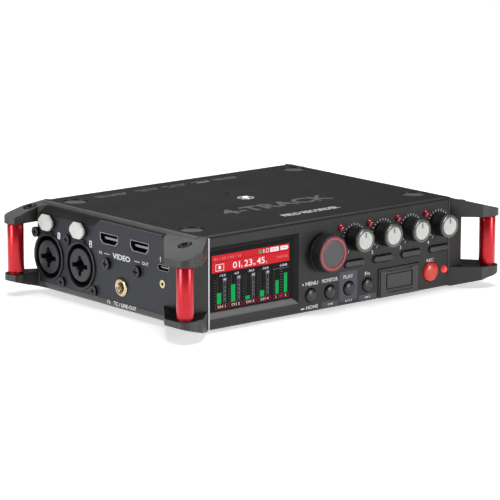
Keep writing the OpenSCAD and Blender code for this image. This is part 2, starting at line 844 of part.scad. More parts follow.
module combo_inserts() color([0.25, 0.26, 0.28]) each_jack() difference() {
  translate([0, 0, -jack_proud + 0.2]) cylinder(h = barrel_l + jack_proud - jack_floor - 0.2, r = insert_r);
  translate([0, 0, -jack_proud - 1]) cylinder(h = plug_depth + 1, r = plug_r);
  for (a = [-90, 30, 150]) rotate([0, 0, a]) translate([5.7, 0, -jack_proud - 1]) cylinder(h = 12, r = 1.5);
}

module combo_contacts() color([0.8, 0.65, 0.3]) each_jack()
  for (a = [-90, 30, 150]) rotate([0, 0, a]) translate([5.7, 0, 1.4]) difference() {
    cylinder(h = 12 - jack_proud - 2.4, r = 1.5);
    translate([0, 0, -1]) cylinder(h = 8, r = 0.9);
  }

// a latch tab's face, with its corners cut
module tab_face() {
  c = 3;
  w = tab_w / 2;
  h = tab_h / 2;
  polygon([[-w + c, -h], [w - c, -h], [w, -h + c], [w, h - c],
           [w - c, h], [-w + c, h], [-w, h - c], [-w, -h + c]]);
}

module latch_tab(i) color([0.85, 0.85, 0.83]) {
  s = i <= 2 ? -1 : 1;
  k = (i - 1) % 2;
  y = (s < 0 ? left_jack_y : right_jack_y) + k * jack_pitch;
  z = (s < 0 ? left_jack_z : right_jack_z) + tab_lift;
  on_side(s) {
    side_plate(side_x + tab_travel + 0.4, tab_t) translate([y, z]) tab_face();
    side_plate(panel_in - 1.5, panel_t + tab_travel + 1.9 + 0.1) translate([y, z - stem_drop])
      square([stem_w, stem_h], center = true);
  }
}

// ---------- small sockets ----------

module video_outline(grow) {
  w = video_w / 2 + grow;
  h = video_h / 2 + grow;
  c = 2;
  polygon([[-w, h], [w, h], [w, -h + c], [w - c, -h], [-w + c, -h], [-w, -h + c]]);
}

module digital_sockets() color([0.7, 0.7, 0.72]) {
  for (y = video_y) translate([0, y, video_z]) {
    side_plate(-side_x, video_deep) difference() {
      video_outline(0);
      video_outline(-0.5);
    }
    side_plate(-side_x + video_deep - 1, 1) video_outline(0);
    side_plate(-side_x + 1.4, video_deep - 2) square([10.2, 1.2], center = true);
  }
  translate([0, data_y, data_z]) {
    side_plate(-side_x, 8) difference() {
      obround(data_w, data_h);
      obround(data_w - 0.7, data_h - 0.7);
    }
    side_plate(-side_x + 7.4, 0.6) obround(data_w, data_h);
    side_plate(-side_x + 1, 6.6) square([6.7, 0.7], center = true);
  }
}

module mini_jack() {
  difference() {
    union() {
      cylinder(h = 1.2, r = mini_bush_r);
      translate([0, 0, -panel_t]) cylinder(h = panel_t, r = mini_bush_r - 1);
      translate([-4.5, -4.5, -mini_l]) cube([9, 9, mini_l - panel_t]);
    }
    translate([0, 0, 1.2 - mini_l]) cylinder(h = mini_l, r = mini_r);
  }
}

module mini_jacks() color([0.8, 0.68, 0.4]) {
  translate([-side_x, left_mini_y, mini_z]) rotate([0, -90, 0]) mini_jack();
  for (y = right_mini_y) translate([side_x, y, mini_z]) rotate([0, 90, 0]) mini_jack();
}

module lock_insert() color([0.75, 0.62, 0.3]) difference() {
  x_rod(lock_y, lock_z, -side_x - 0.2, 2, 5.2);
  x_rod(lock_y, lock_z, -side_x - 1, lock_r, 5.2);
}

module card_socket() color([0.5, 0.5, 0.52]) difference() {
  side_plate(panel_in - 17, 18) translate([card_y, card_z]) round_rect(card_w, card_h, 0.5);
  side_plate(panel_in - 16, 20)
    translate([card_y, card_z]) square([card_w - 0.8, card_h - 0.5], center = true);
}

module power_slider() color([0.2, 0.2, 0.22]) {
  h = switch_slot_h - 2 * key_gap;
  translate([0, switch_slot_y, switch_slot_z]) {
    side_plate(panel_in - 1.5, panel_t + 2.6) obround(slider_w, h);
    side_plate(panel_in - 1.5, 1) square([slider_w + 3, switch_slot_h + 2], center = true);
  }
}

// ---------- threads and feet ----------

module tripod_insert() difference() {
  translate([0, thread_y, ear_low + 0.5]) cylinder(h = top_z - ear_low - 0.5, r = insert_body_r);
  translate([0, thread_y, 0]) cylinder(h = top_z + 1, r = tripod_r);
  translate([0, thread_y, top_z - 0.8]) cylinder(h = 0.81, r1 = tripod_r, r2 = tripod_r + 0.8);
}

module tripod_inserts() color([0.8, 0.8, 0.8]) {
  tripod_insert();
  low_side() tripod_insert();
}

module rubber_feet() color([0.05, 0.05, 0.05])
  for (x = sides, y = [foot_front, foot_rear])
    translate([x * foot_x, y, 0]) cylinder(h = foot_h + pocket_deep, r = foot_r);

// ---------- battery bay ----------

module battery_tray() color([0.1, 0.1, 0.1]) {
  difference() {
    box([-tray_w / 2 - tray_t, tray_back - tray_d - tray_t, tray_low - tray_t],
        [tray_w / 2 + tray_t, tray_back, tray_low + tray_h + tray_t]);
    for (s = sides)
      box([s < 0 ? -tray_w / 2 : tray_t / 2, tray_back - tray_d, tray_low],
          [s < 0 ? -tray_t / 2 : tray_w / 2, tray_back + 1, tray_low + tray_h]);
  }
  // flanges that meet the rear panel beside the door's opening
  for (s = sides) on_side(s)
    box([tray_w / 2 + tray_t, tray_back - tray_t, tray_low],
        [door_w / 2 + 3, rear_y - door_t, tray_low + tray_h]);
}

// each cell's place, turned so that the cell lies along its own Z
module each_cell() {
  for (s = sides, row = [0, 1]) {
    x = s * (tray_t / 2 + chamber_w / 2);
    z = tray_low + cell_gap + cell_r + row * (2 * cell_r + cell_gap);
    translate([x, tray_back - tray_d / 2, z]) rotate([0, 90, 0]) children();
  }
}

module battery_cells() color([0.75, 0.6, 0.25]) each_cell() {
  cylinder(h = cell_l - 1.4, r = cell_r, center = true);
  cylinder(h = cell_l, r = 2.6, center = true);
}

module cell_contacts() color([0.75, 0.75, 0.77]) each_cell()
  for (s = sides)
    translate([0, 0, s * (cell_l + chamber_w) / 4])
      cylinder(h = (chamber_w - cell_l) / 2, r = 2.4, center = true);

module battery_door() color([0.14, 0.14, 0.15]) difference() {
  union() {
    box([-door_w / 2, rear_y - door_t, door_axis_z], [door_w / 2, rear_y, door_top]);
    x_rod(door_axis_y, door_axis_z, -door_w / 2, door_t / 2, door_w);
  }
  x_rod(door_axis_y, door_axis_z, -door_w / 2 - 1, pin_r + shaft_gap, door_w + 2);
  box([-latch_w / 2 - key_gap, rear_y - 1.5, door_top - latch_h - 3.5],
      [latch_w / 2 + key_gap, rear_y + 1, door_top - 1]);
}

module door_pin() color([0.7, 0.7, 0.72])
  x_rod(door_axis_y, door_axis_z, -door_w / 2 - 3.5, pin_r, door_w + 7);

module door_latch() color([0.2, 0.2, 0.2]) {
  box([-latch_w / 2, rear_y - 1.4, door_top - 1.2 - latch_h], [latch_w / 2, rear_y - 0.4, door_top - 1.2]);
  // grip ribs
  for (k = [0:3]) {
    rib_z = door_top - 2.6 - 1.4 * k;
    box([-latch_w / 2 + 1.5, rear_y - 0.4, rib_z], [latch_w / 2 - 1.5, rear_y, rib_z + 0.6]);
  }
}

// ---------- one line for each node ----------

top_cover();
bottom_cover();
front_bezel();
left_panel();
right_panel();
rear_panel();
edge_trims();
corner_posts();
cover_screws();
lcd_window();
lcd_module();
dial_knob();
dial_ring();
dial_shaft();
dial_encoder();
gain_pots();
for (i = gains) gain_knob(i);
for (i = gains) gain_cap(i);
for (i = gains) channel_key(i);
for (k = [0:3]) round_key(k);
rec_button();
signal_lamps();
adapter_cover();
adapter_socket();
front_board();
main_board();
combo_housings();
combo_inserts();
combo_contacts();
jack_screws();
for (i = [1:4]) latch_tab(i);
digital_sockets();
clamp_screws();
mini_jacks();
lock_insert();
card_socket();
power_slider();
tripod_inserts();
rubber_feet();
battery_door();
door_pin();
door_latch();
battery_tray();
battery_cells();
cell_contacts();
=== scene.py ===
# Portable field recorder: finishes, printed marks, knobs, keys, sockets and screen around the fixed frame.
import math
from types import SimpleNamespace

import bmesh
import bpy
from mathutils import Matrix, Vector


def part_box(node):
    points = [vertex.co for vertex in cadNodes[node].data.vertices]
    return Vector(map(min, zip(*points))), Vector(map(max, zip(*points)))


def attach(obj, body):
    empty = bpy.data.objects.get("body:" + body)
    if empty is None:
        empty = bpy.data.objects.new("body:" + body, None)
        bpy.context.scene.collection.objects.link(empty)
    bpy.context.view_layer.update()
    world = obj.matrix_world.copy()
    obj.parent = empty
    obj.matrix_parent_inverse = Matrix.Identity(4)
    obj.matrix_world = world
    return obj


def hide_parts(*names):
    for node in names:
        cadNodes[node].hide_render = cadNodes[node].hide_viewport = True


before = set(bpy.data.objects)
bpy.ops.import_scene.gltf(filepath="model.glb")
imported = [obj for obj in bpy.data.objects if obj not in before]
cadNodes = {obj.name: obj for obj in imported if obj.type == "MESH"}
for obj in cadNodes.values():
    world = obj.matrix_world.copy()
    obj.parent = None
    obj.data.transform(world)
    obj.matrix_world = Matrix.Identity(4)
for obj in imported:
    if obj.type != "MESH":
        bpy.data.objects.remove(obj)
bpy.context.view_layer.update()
mm = 0.001
micron = 0.000001
print("frame loaded:", len(cadNodes), "nodes")


# places, read from the frame in millimetres

def span(node):
    low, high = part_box(node)
    return low / mm, high / mm


def middle(node):
    low, high = span(node)
    return (low + high) / 2


faceY = span("front_bezel")[0].y
topZ = span("top_cover")[1].z
baseZ = span("bottom_cover")[0].z
leftX = span("left_panel")[0].x
rightX = span("right_panel")[1].x
rearY = span("rear_panel")[1].y


def onFront(x, z, out=0.0):  # own x to the right, own y up, own z out of the bezel
    return Matrix(((1, 0, 0, x), (0, 0, -1, faceY - out), (0, 1, 0, z), (0, 0, 0, 1)))


def onLeft(y, z, out=0.0):
    return Matrix(((0, 0, -1, leftX - out), (-1, 0, 0, y), (0, 1, 0, z), (0, 0, 0, 1)))


def onRight(y, z, out=0.0):
    return Matrix(((0, 0, 1, rightX + out), (1, 0, 0, y), (0, 1, 0, z), (0, 0, 0, 1)))


def onTop(x, y, out=0.0):
    return Matrix(((1, 0, 0, x), (0, 1, 0, y), (0, 0, 1, topZ + out), (0, 0, 0, 1)))


def onBase(x, y, out=0.0):
    return Matrix(((1, 0, 0, x), (0, -1, 0, y), (0, 0, -1, baseZ - out), (0, 0, 0, 1)))


def onRear(x, z, out=0.0):
    return Matrix(((-1, 0, 0, x), (0, 0, 1, rearY + out), (0, 1, 0, z), (0, 0, 0, 1)))


def onBezel(node):  # where a front node sits, its size, and how far it stands out
    low, high = span(node)
    home = onFront((low.x + high.x) / 2, (low.z + high.z) / 2)
    return SimpleNamespace(home=home, width=high.x - low.x, height=high.z - low.z,
                           front=faceY - low.y, back=faceY - high.y)


# shader groups that several finishes share

def socketsOf(group, inputs, outputs):
    for label, kind, value in inputs:
        made = group.interface.new_socket(name=label, in_out="INPUT", socket_type=kind)
        made.default_value = value
    for label in outputs:
        group.interface.new_socket(name=label, in_out="OUTPUT", socket_type="NodeSocketFloat")
    return group.nodes.new("NodeGroupInput").outputs, group.nodes.new("NodeGroupOutput").inputs


def setInputs(node, **values):
    for key, value in values.items():
        node.inputs[key.replace("_", " ")].default_value = value


def addNode(tree, kind, **values):
    # a name with a capital is one of the node's inputs, and any other is a setting
    node = tree.nodes.new(kind)
    for key, value in values.items():
        if key[0].isupper():
            setInputs(node, **{key: value})
        else:
            setattr(node, key, value)
    return node


def maths(tree, operation, first, second=None, clamp=False):
    node = addNode(tree, "ShaderNodeMath", operation=operation, use_clamp=clamp)
    for slot, value in zip(node.inputs, (first, second)):
        if isinstance(value, (int, float)):
            slot.default_value = value
        elif value is not None:
            tree.links.new(value, slot)
    return node.outputs[0]


def makeGrainGroup():
    # a fine tooth, a slow drift of tone, and sparse pale specks
    group = bpy.data.node_groups.new("surfaceGrain", "ShaderNodeTree")
    wire = group.links.new
    start, end = socketsOf(
        group,
        [("Scale", "NodeSocketFloat", 1800.0), ("Drift Scale", "NodeSocketFloat", 22.0),
         ("Stretch", "NodeSocketVector", (1, 1, 1)), ("Speck Level", "NodeSocketFloat", 0.72)],
        ("Tooth", "Drift", "Specks"))
    place = addNode(group, "ShaderNodeTexCoord")
    stretched = addNode(group, "ShaderNodeVectorMath", operation="MULTIPLY")
    wire(place.outputs["Object"], stretched.inputs[0])
    wire(start["Stretch"], stretched.inputs[1])
    tooth = addNode(group, "ShaderNodeTexNoise", Detail=2.0, Roughness=0.55)
    drift = addNode(group, "ShaderNodeTexNoise", Detail=4.0)
    specks = addNode(group, "ShaderNodeTexVoronoi", feature="F1")
    wire(start["Scale"], tooth.inputs["Scale"])
    wire(start["Drift Scale"], drift.inputs["Scale"])
    wire(maths(group, "MULTIPLY", start["Scale"], 0.85), specks.inputs["Scale"])
    for texture in (tooth, drift, specks):
        wire(stretched.outputs[0], texture.inputs["Vector"])
    shade = addNode(group, "ShaderNodeSeparateColor")
    wire(specks.outputs["Color"], shade.inputs["Color"])
    above = maths(group, "SUBTRACT", shade.outputs[0], start["Speck Level"])
    sharp = maths(group, "MULTIPLY", above, 6.0, clamp=True)
    near = maths(group, "LESS_THAN", specks.outputs["Distance"], 0.42)
    wire(tooth.outputs["Fac"], end["Tooth"])
    wire(drift.outputs["Fac"], end["Drift"])
    wire(maths(group, "MULTIPLY", sharp, near), end["Specks"])
    return group


def makeScuffGroup():
    # thin rubbed lines that run in two directions and fade in and out
    group = bpy.data.node_groups.new("softScuffs", "ShaderNodeTree")
    wire = group.links.new
    start, end = socketsOf(
        group, [("Scale", "NodeSocketFloat", 60.0), ("Amount", "NodeSocketFloat", 0.5)], ("Scuffs",))
    place = addNode(group, "ShaderNodeTexCoord")
    total = None
    for squeeze, turn in (((1.0, 14.0, 5.0), 0.5), ((16.0, 1.0, 3.0), -0.35)):
        mapping = addNode(group, "ShaderNodeMapping", Scale=squeeze, Rotation=(turn, turn * 0.6, turn))
        wire(place.outputs["Object"], mapping.inputs["Vector"])
        lines = addNode(group, "ShaderNodeTexNoise", Detail=6.0, Roughness=0.7)
        wire(start["Scale"], lines.inputs["Scale"])
        wire(mapping.outputs[0], lines.inputs["Vector"])
        thin = maths(group, "MULTIPLY", maths(group, "SUBTRACT", lines.outputs["Fac"], 0.6), 5.0, clamp=True)
        total = thin if total is None else maths(group, "MAXIMUM", total, thin)
    wire(maths(group, "MULTIPLY", total, start["Amount"]), end["Scuffs"])
    return group


def makeTurnedGroup():
    # rings left by a lathe, round the piece's own z axis
    group = bpy.data.node_groups.new("turnedRings", "ShaderNodeTree")
    wire = group.links.new
    start, end = socketsOf(group, [("Rings", "NodeSocketFloat", 3000.0)], ("Height", "Glint"))
    place = addNode(group, "ShaderNodeTexCoord")
    flat = addNode(group, "ShaderNodeVectorMath", operation="MULTIPLY")
    flat.inputs[1].default_value = (1, 1, 0)
    size = addNode(group, "ShaderNodeVectorMath", operation="LENGTH")
    wire(place.outputs["Object"], flat.inputs[0])
    wire(flat.outputs[0], size.inputs[0])
    wave = maths(group, "SINE", maths(group, "MULTIPLY", size.outputs["Value"], start["Rings"]))
    noise = addNode(group, "ShaderNodeTexNoise", Scale=900.0)
    wire(place.outputs["Object"], noise.inputs["Vector"])
    wire(maths(group, "ADD", maths(group, "MULTIPLY", wave, 0.5), noise.outputs["Fac"]), end["Height"])
    wire(noise.outputs["Fac"], end["Glint"])
    return group


grainGroup = makeGrainGroup()
scuffGroup = makeScuffGroup()
turnedGroup = makeTurnedGroup()


def mixColours(tree, factor, first, second):
    node = addNode(tree, "ShaderNodeMix", data_type="RGBA")
    tree.links.new(factor, node.inputs["Factor"])
    for slot, value in ((node.inputs[6], first), (node.inputs[7], second)):
        if isinstance(value, tuple):
            slot.default_value = (*value[:3], 1)
        else:
            tree.links.new(value, slot)
    return node.outputs[2]


def ranged(tree, value, low, high):
    node = addNode(tree, "ShaderNodeMapRange", From_Min=0.25, From_Max=0.75, To_Min=low, To_Max=high)
    tree.links.new(value, node.inputs["Value"])
    return node.outputs["Result"]


def blankFinish(name):
    material = bpy.data.materials.new(name)
    material.use_nodes = True
    return material, material.node_tree, material.node_tree.nodes["Principled BSDF"]


def wireFinish(tree, principled, tone, roughness, height, depth, shader):
    bump = addNode(tree, "ShaderNodeBump", Distance=depth * micron)
    tree.links.new(tone, principled.inputs["Base Color"])
    tree.links.new(roughness, principled.inputs["Roughness"])
    tree.links.new(height, bump.inputs["Height"])
    tree.links.new(bump.outputs["Normal"], principled.inputs["Normal"])
    setInputs(principled, **shader)


def makeFinish(name, colour, shade, rough, spread=0.06, grain=1800, depth=30, drift=22, stretch=(1, 1, 1),
               scuffs=0.0, specks=0.0, speckColour=(0.2, 0.2, 0.2), **shader):
    # depth in microns; what shader names is set on the finish as it is
    material, tree, principled = blankFinish(name)
    surface = addNode(tree, "ShaderNodeGroup", node_tree=grainGroup, Scale=grain, Drift_Scale=drift,
                      Stretch=stretch)
    tone = mixColours(tree, ranged(tree, surface.outputs["Drift"], 0.0, 1.0), colour, shade)
    roughness = ranged(tree, surface.outputs["Drift"], rough - spread, rough + spread)
    if specks:
        tone = mixColours(tree, maths(tree, "MULTIPLY", surface.outputs["Specks"], specks), tone, speckColour)
    if scuffs:
        marks = addNode(tree, "ShaderNodeGroup", node_tree=scuffGroup, Amount=scuffs)
        pale = tuple(min(1.0, c * 1.9 + 0.03) for c in colour)
        tone = mixColours(tree, marks.outputs["Scuffs"], tone, pale)
        roughness = maths(tree, "ADD", roughness, maths(tree, "MULTIPLY", marks.outputs["Scuffs"], 0.25))
    wireFinish(tree, principled, tone, roughness, surface.outputs["Tooth"], depth, shader)
    return material


def makeTurned(name, colour, shade, rough, rings, depth):
    material, tree, principled = blankFinish(name)
    turned = addNode(tree, "ShaderNodeGroup", node_tree=turnedGroup, Rings=rings)
    tone = mixColours(tree, ranged(tree, turned.outputs["Glint"], 0.0, 1.0), colour, shade)
    roughness = ranged(tree, turned.outputs["Glint"], rough - 0.06, rough + 0.06)
    wireFinish(tree, principled, tone, roughness, turned.outputs["Height"], depth, {})
    return material


# finishes

powderBlack = makeFinish(
    "powderBlack", (0.0105, 0.0098, 0.0098), (0.0165, 0.0155, 0.0155), 0.62, spread=0.05, grain=1500,
    depth=160, drift=30, specks=0.8, speckColour=(0.05, 0.045, 0.043), scuffs=0.05, Specular_IOR_Level=0.16)
satinBlack = makeFinish(
    "satinBlack", (0.014, 0.0135, 0.013), (0.02, 0.019, 0.019), 0.42, spread=0.05, grain=2400, depth=50,
    drift=30, scuffs=0.08, Specular_IOR_Level=0.6)
# near-black for the slopes round the screen: painted shade, standing in for the dark they reflect
surroundPaintedShade = makeFinish(
    "surroundPaintedShade", (0.004, 0.004, 0.005), (0.007, 0.007, 0.008), 0.4, grain=2400, depth=20,
    Specular_IOR_Level=0.12)
# a pale grey for the pocket floors: a painted highlight
pocketFloorPaintedHighlight = makeFinish("pocketFloorPaintedHighlight", (0.075, 0.074, 0.073), (0.1, 0.099, 0.097), 0.5, grain=2000, depth=60)
# a lighter grey for the slope under the screen: painted light, as if lit from above
sillPaintedLight = makeFinish("sillPaintedLight", (0.07, 0.068, 0.068), (0.09, 0.087, 0.087), 0.4, grain=2600, depth=50)
bezelPaint = makeFinish(
    "bezelPaint", (0.0185, 0.0175, 0.017), (0.025, 0.0235, 0.023), 0.42, grain=2600, depth=50, drift=14,
    scuffs=0.06, Specular_IOR_Level=0.28)
slatePaint = makeFinish(
    "slatePaint", (0.0125, 0.014, 0.021), (0.018, 0.02, 0.029), 0.44, grain=2600, depth=50, drift=18,
    scuffs=0.08, Specular_IOR_Level=0.36)
brightCut = makeFinish(
    "brightCut", (0.52, 0.52, 0.55), (0.4, 0.4, 0.43), 0.3, grain=3200, depth=40, stretch=(1, 1, 0.1),
    Metallic=1.0)
redAnodised = makeFinish(
    "redAnodised", (0.6, 0.006, 0.018), (0.47, 0.003, 0.013), 0.3, spread=0.04, grain=2400, drift=60,
    stretch=(0.15, 0.15, 1.6), Metallic=0.6, Coat_Weight=0.35, Coat_Roughness=0.22)
blackScrew = makeFinish(
    "blackScrew", (0.03, 0.03, 0.033), (0.062, 0.062, 0.067), 0.17, grain=2200, scuffs=0.2, Metallic=0.95)
dialKnurl = makeFinish("dialKnurl", (0.014, 0.0135, 0.014), (0.026, 0.025, 0.026), 0.42, grain=3000, depth=40)
knurlBlack = makeFinish(
    "knurlBlack", (0.007, 0.007, 0.007), (0.014, 0.014, 0.014), 0.5, grain=3000, depth=40,
    Specular_IOR_Level=0.3)
rimGrey = makeFinish(
    "rimGrey", (0.07, 0.07, 0.065), (0.1, 0.1, 0.092), 0.24, grain=2600, depth=10, Coat_Weight=0.4,
    Coat_Roughness=0.1)
capGrey = makeTurned("capGrey", (0.05, 0.05, 0.05), (0.07, 0.07, 0.07), 0.46, rings=5200, depth=12)
capWhite = makeFinish(
    "capWhite", (0.62, 0.62, 0.6), (0.5, 0.5, 0.485), 0.5, grain=2600, depth=70, drift=500, specks=0.22,
    speckColour=(0.4, 0.4, 0.39))
pointerBlack = makeFinish("pointerBlack", (0.01, 0.01, 0.01), (0.02, 0.02, 0.02), 0.45)
ringRed = makeFinish(
    "ringRed", (0.46, 0.009, 0.035), (0.36, 0.007, 0.028), 0.25, depth=10, Coat_Weight=0.6,
    Coat_Roughness=0.08)
lampRed = makeFinish(
    "lampRed", (0.3, 0.001, 0.014), (0.18, 0.001, 0.01), 0.1, spread=0.03, grain=900, depth=10,
    Coat_Weight=1.0, Coat_Roughness=0.04, Emission_Color=(0.6, 0.0, 0.03, 1), Emission_Strength=0.03)
lampLit = makeFinish(
    "lampLit", (0.65, 0.02, 0.03), (0.5, 0.01, 0.02), 0.12, spread=0.03, grain=900, depth=10, Coat_Weight=1.0,
    Coat_Roughness=0.04, Emission_Color=(1.0, 0.06, 0.05, 1), Emission_Strength=0.5)
# the record key glows faintly: painted light, the key itself is no lamp
recordRedPaintedGlow = makeFinish(
    "recordRedPaintedGlow", (0.6, 0.03, 0.016), (0.5, 0.02, 0.013), 0.3, depth=20, Coat_Weight=0.25, Coat_Roughness=0.2,
    Emission_Color=(1.0, 0.08, 0.03, 1), Emission_Strength=0.08)
keyBlack = makeFinish(
    "keyBlack", (0.008, 0.008, 0.009), (0.014, 0.014, 0.015), 0.34, Coat_Weight=0.1, Coat_Roughness=0.25)
slimGrey = makeFinish("slimGrey", (0.022, 0.0215, 0.022), (0.03, 0.0295, 0.03), 0.4, grain=2200, depth=40)
bayGrain = makeFinish(
    "bayGrain", (0.024, 0.0235, 0.0235), (0.033, 0.0325, 0.0325), 0.44, grain=1700, depth=90)
jackBlack = makeFinish("jackBlack", (0.006, 0.006, 0.007), (0.011, 0.011, 0.013), 0.34, grain=1500)
jackGrey = makeFinish("jackGrey", (0.016, 0.017, 0.022), (0.024, 0.025, 0.03), 0.42, grain=1600, depth=60)
tabWhite = makeFinish(
    "tabWhite", (0.66, 0.65, 0.62), (0.55, 0.54, 0.51), 0.42, grain=1400, depth=60, drift=240, specks=0.25,
    speckColour=(0.4, 0.39, 0.37))
goldPlate = makeFinish("goldPlate", (0.66, 0.57, 0.38), (0.52, 0.45, 0.3), 0.22, Metallic=1.0)
socketSteel = makeFinish("socketSteel", (0.3, 0.3, 0.31), (0.2, 0.2, 0.21), 0.26, grain=2200, Metallic=1.0)
insertSteel = makeFinish(
    "insertSteel", (0.8, 0.79, 0.77), (0.66, 0.65, 0.64), 0.42, grain=2400, depth=40, Metallic=0.9)
turnedSteel = makeFinish("turnedSteel", (0.55, 0.55, 0.57), (0.45, 0.45, 0.47), 0.3, grain=2000, Metallic=1.0)
darkMoulded = makeFinish(
    "darkMoulded", (0.022, 0.022, 0.024), (0.034, 0.034, 0.036), 0.5, grain=1600, depth=80)
footRubber = makeFinish(
    "footRubber", (0.012, 0.012, 0.012), (0.022, 0.022, 0.022), 0.7, grain=1200, depth=100)
boardGreen = makeFinish(
    "boardGreen", (0.008, 0.07, 0.03), (0.012, 0.1, 0.045), 0.35, grain=600, depth=50, specks=0.8,
    speckColour=(0.5, 0.45, 0.3))
cellSleeve = makeFinish(
    "cellSleeve", (0.05, 0.05, 0.06), (0.35, 0.24, 0.06), 0.3, grain=600, drift=30, Coat_Weight=0.5)
screenGlass = makeFinish(
    "screenGlass", (0.003, 0.003, 0.004), (0.005, 0.005, 0.006), 0.16, spread=0.02, grain=400, depth=2,
    Specular_IOR_Level=0.1)
displayBoard = makeFinish("displayBoard", (0.16, 0.17, 0.18), (0.22, 0.23, 0.24), 0.5)
inkWhite = makeFinish("inkWhite", (0.74, 0.74, 0.75), (0.62, 0.62, 0.64), 0.5, grain=3000, depth=20)
inkGrey = makeFinish("inkGrey", (0.1, 0.1, 0.108), (0.13, 0.13, 0.138), 0.5, grain=3000)
inkDim = makeFinish("inkDim", (0.2, 0.2, 0.21), (0.26, 0.26, 0.27), 0.5, grain=3000, depth=20)
inkSlate = makeFinish("inkSlate", (0.035, 0.038, 0.055), (0.042, 0.046, 0.065), 0.42, grain=2600, depth=40)
inkBlack = makeFinish("inkBlack", (0.006, 0.006, 0.006), (0.012, 0.012, 0.012), 0.45, grain=2400)
print("finishes made:", len(bpy.data.materials))


def makeGlow(name, colour, dimmer, strength):
    # a lit area of the screen, with the faint grid of its cells
    material, tree, principled = blankFinish(name)
    place = addNode(tree, "ShaderNodeTexCoord")
    cells = addNode(tree, "ShaderNodeTexVoronoi", feature="F1", Scale=5200.0, Randomness=0.1)
    tree.links.new(place.outputs["Object"], cells.inputs["Vector"])
    tone = mixColours(tree, ranged(tree, cells.outputs["Distance"], 0.0, 1.0), colour, dimmer)
    tree.links.new(tone, principled.inputs["Emission Color"])
    setInputs(principled, Emission_Strength=strength, Base_Color=(*(c * 0.2 for c in colour), 1),
              Roughness=0.3, Specular_IOR_Level=0.08)
    return material


# mesh tools, in millimetres

def newObject(name, data):
    made = bpy.data.objects.new(name, data)
    bpy.context.scene.collection.objects.link(made)
    return made


def meshOf(name, shape):  # ends the working shape and gives its mesh
    mesh = bpy.data.meshes.new(name)
    shape.to_mesh(mesh)
    shape.free()
    return mesh


def roundedOutline(width, height, radius, steps=6):
    points = []
    for turn, (sideX, sideY) in enumerate(((1, 1), (-1, 1), (-1, -1), (1, -1))):
        for k in range(steps + 1):
            angle = math.radians(90 * turn + 90 * k / steps)
            points.append((sideX * (width / 2 - radius) + radius * math.cos(angle),
                           sideY * (height / 2 - radius) + radius * math.sin(angle)))
    return points


def stack(shape, place, outlines):
    # outlines: (points, height) from the bottom up, all with the same number of points
    rings = []
    for points, height in outlines:
        rings.append([shape.verts.new(place @ Vector((x, y, height))) for x, y in points])
    for lower, upper in zip(rings, rings[1:]):
        for k in range(len(lower)):
            n = (k + 1) % len(lower)
            shape.faces.new((lower[k], lower[n], upper[n], upper[k]))
    shape.faces.new(list(reversed(rings[0])))
    shape.faces.new(rings[-1])


def pillow(shape, place, width, height, radius, profile):
    # profile: (inset, height) pairs from the bottom up
    stack(shape, place, [
        (roundedOutline(width - 2 * inset, height - 2 * inset, max(radius - inset, 0.02)), level)
        for inset, level in profile])


def slab(shape, place, width, height, low, high, soft=0.01):
    corner = min(soft * 2, width / 2.1, height / 2.1)
    pillow(shape, place, width, height, corner, [(0, low), (0, high - soft), (soft, high)])


def lathe(shape, place, profile, steps=64, wave=None):
    # profile: (radius, height) pairs; wave(angle, height) is how deep the groove is there
    rings = []
    for radius, height in profile:
        if radius < 1e-6:
            rings.append([shape.verts.new(place @ Vector((0, 0, height)))])
            continue
        ring = []
        for k in range(steps):
            angle = 2 * math.pi * k / steps
            reach = radius - (wave(angle, height) if wave else 0)
            spot = Vector((reach * math.cos(angle), reach * math.sin(angle), height))
            ring.append(shape.verts.new(place @ spot))
        rings.append(ring)
    closed = len(rings[0]) > 1 and len(rings[-1]) > 1
    for lower, upper in zip(rings, rings[1:] + ([rings[0]] if closed else [])):
        for k in range(steps):
            n = (k + 1) % steps
            if len(lower) == 1:
                shape.faces.new((lower[0], upper[n], upper[k]))
            elif len(upper) == 1:
                shape.faces.new((lower[k], lower[n], upper[0]))
            else:
                shape.faces.new((lower[k], lower[n], upper[n], upper[k]))


def carve(name, solid, cutters):
    # cuts one mesh with others, and gives back the result to build on
    objects = []
    for n, part in enumerate([solid] + cutters):
        bmesh.ops.recalc_face_normals(part, faces=part.faces)
        objects.append(newObject(f"{name}{n}", meshOf(f"{name}{n}", part)))
    for cutter in objects[1:]:
        cut = objects[0].modifiers.new("cut", "BOOLEAN")
        cut.operation = "DIFFERENCE"
        cut.solver = "EXACT"
        cut.object = cutter
    graph = bpy.context.evaluated_depsgraph_get()
    result = bmesh.new()
    result.from_mesh(bpy.data.meshes.new_from_object(objects[0].evaluated_get(graph)))
    for made in objects:
        bpy.data.objects.remove(made)
    return result


def letters(shape, place, words, height, width=None, bold=0.0, align=0, depth=0.06):
    curve = bpy.data.curves.new("letters", "FONT")
    curve.body = words
    curve.resolution_u = 3
    curve.offset = bold
    holder = newObject("letters", curve)
    graph = bpy.context.evaluated_depsgraph_get()
    mesh = bpy.data.meshes.new_from_object(holder.evaluated_get(graph))
    xs = [v.co.x for v in mesh.vertices]
    ys = [v.co.y for v in mesh.vertices]
    tall = height / (max(ys) - min(ys))
    wide = width / (max(xs) - min(xs)) if width else tall
    shift = {-1: min(xs), 0: (min(xs) + max(xs)) / 2}[align]
    flat = bmesh.new()
    flat.from_mesh(mesh)
    for v in flat.verts:
        v.co = Vector(((v.co.x - shift) * wide, (v.co.y - (min(ys) + max(ys)) / 2) * tall, 0))
    bmesh.ops.remove_doubles(flat, verts=flat.verts, dist=0.0005)
    lifted = bmesh.ops.extrude_face_region(flat, geom=list(flat.faces))["geom"]
    raised = [made for made in lifted if isinstance(made, bmesh.types.BMVert)]
    bmesh.ops.translate(flat, vec=(0, 0, depth), verts=raised)
    flat.transform(place)
    flat.to_mesh(mesh)
    flat.free()
    shape.from_mesh(mesh)
    bpy.data.objects.remove(holder)
    bpy.data.curves.remove(curve)
    bpy.data.meshes.remove(mesh)


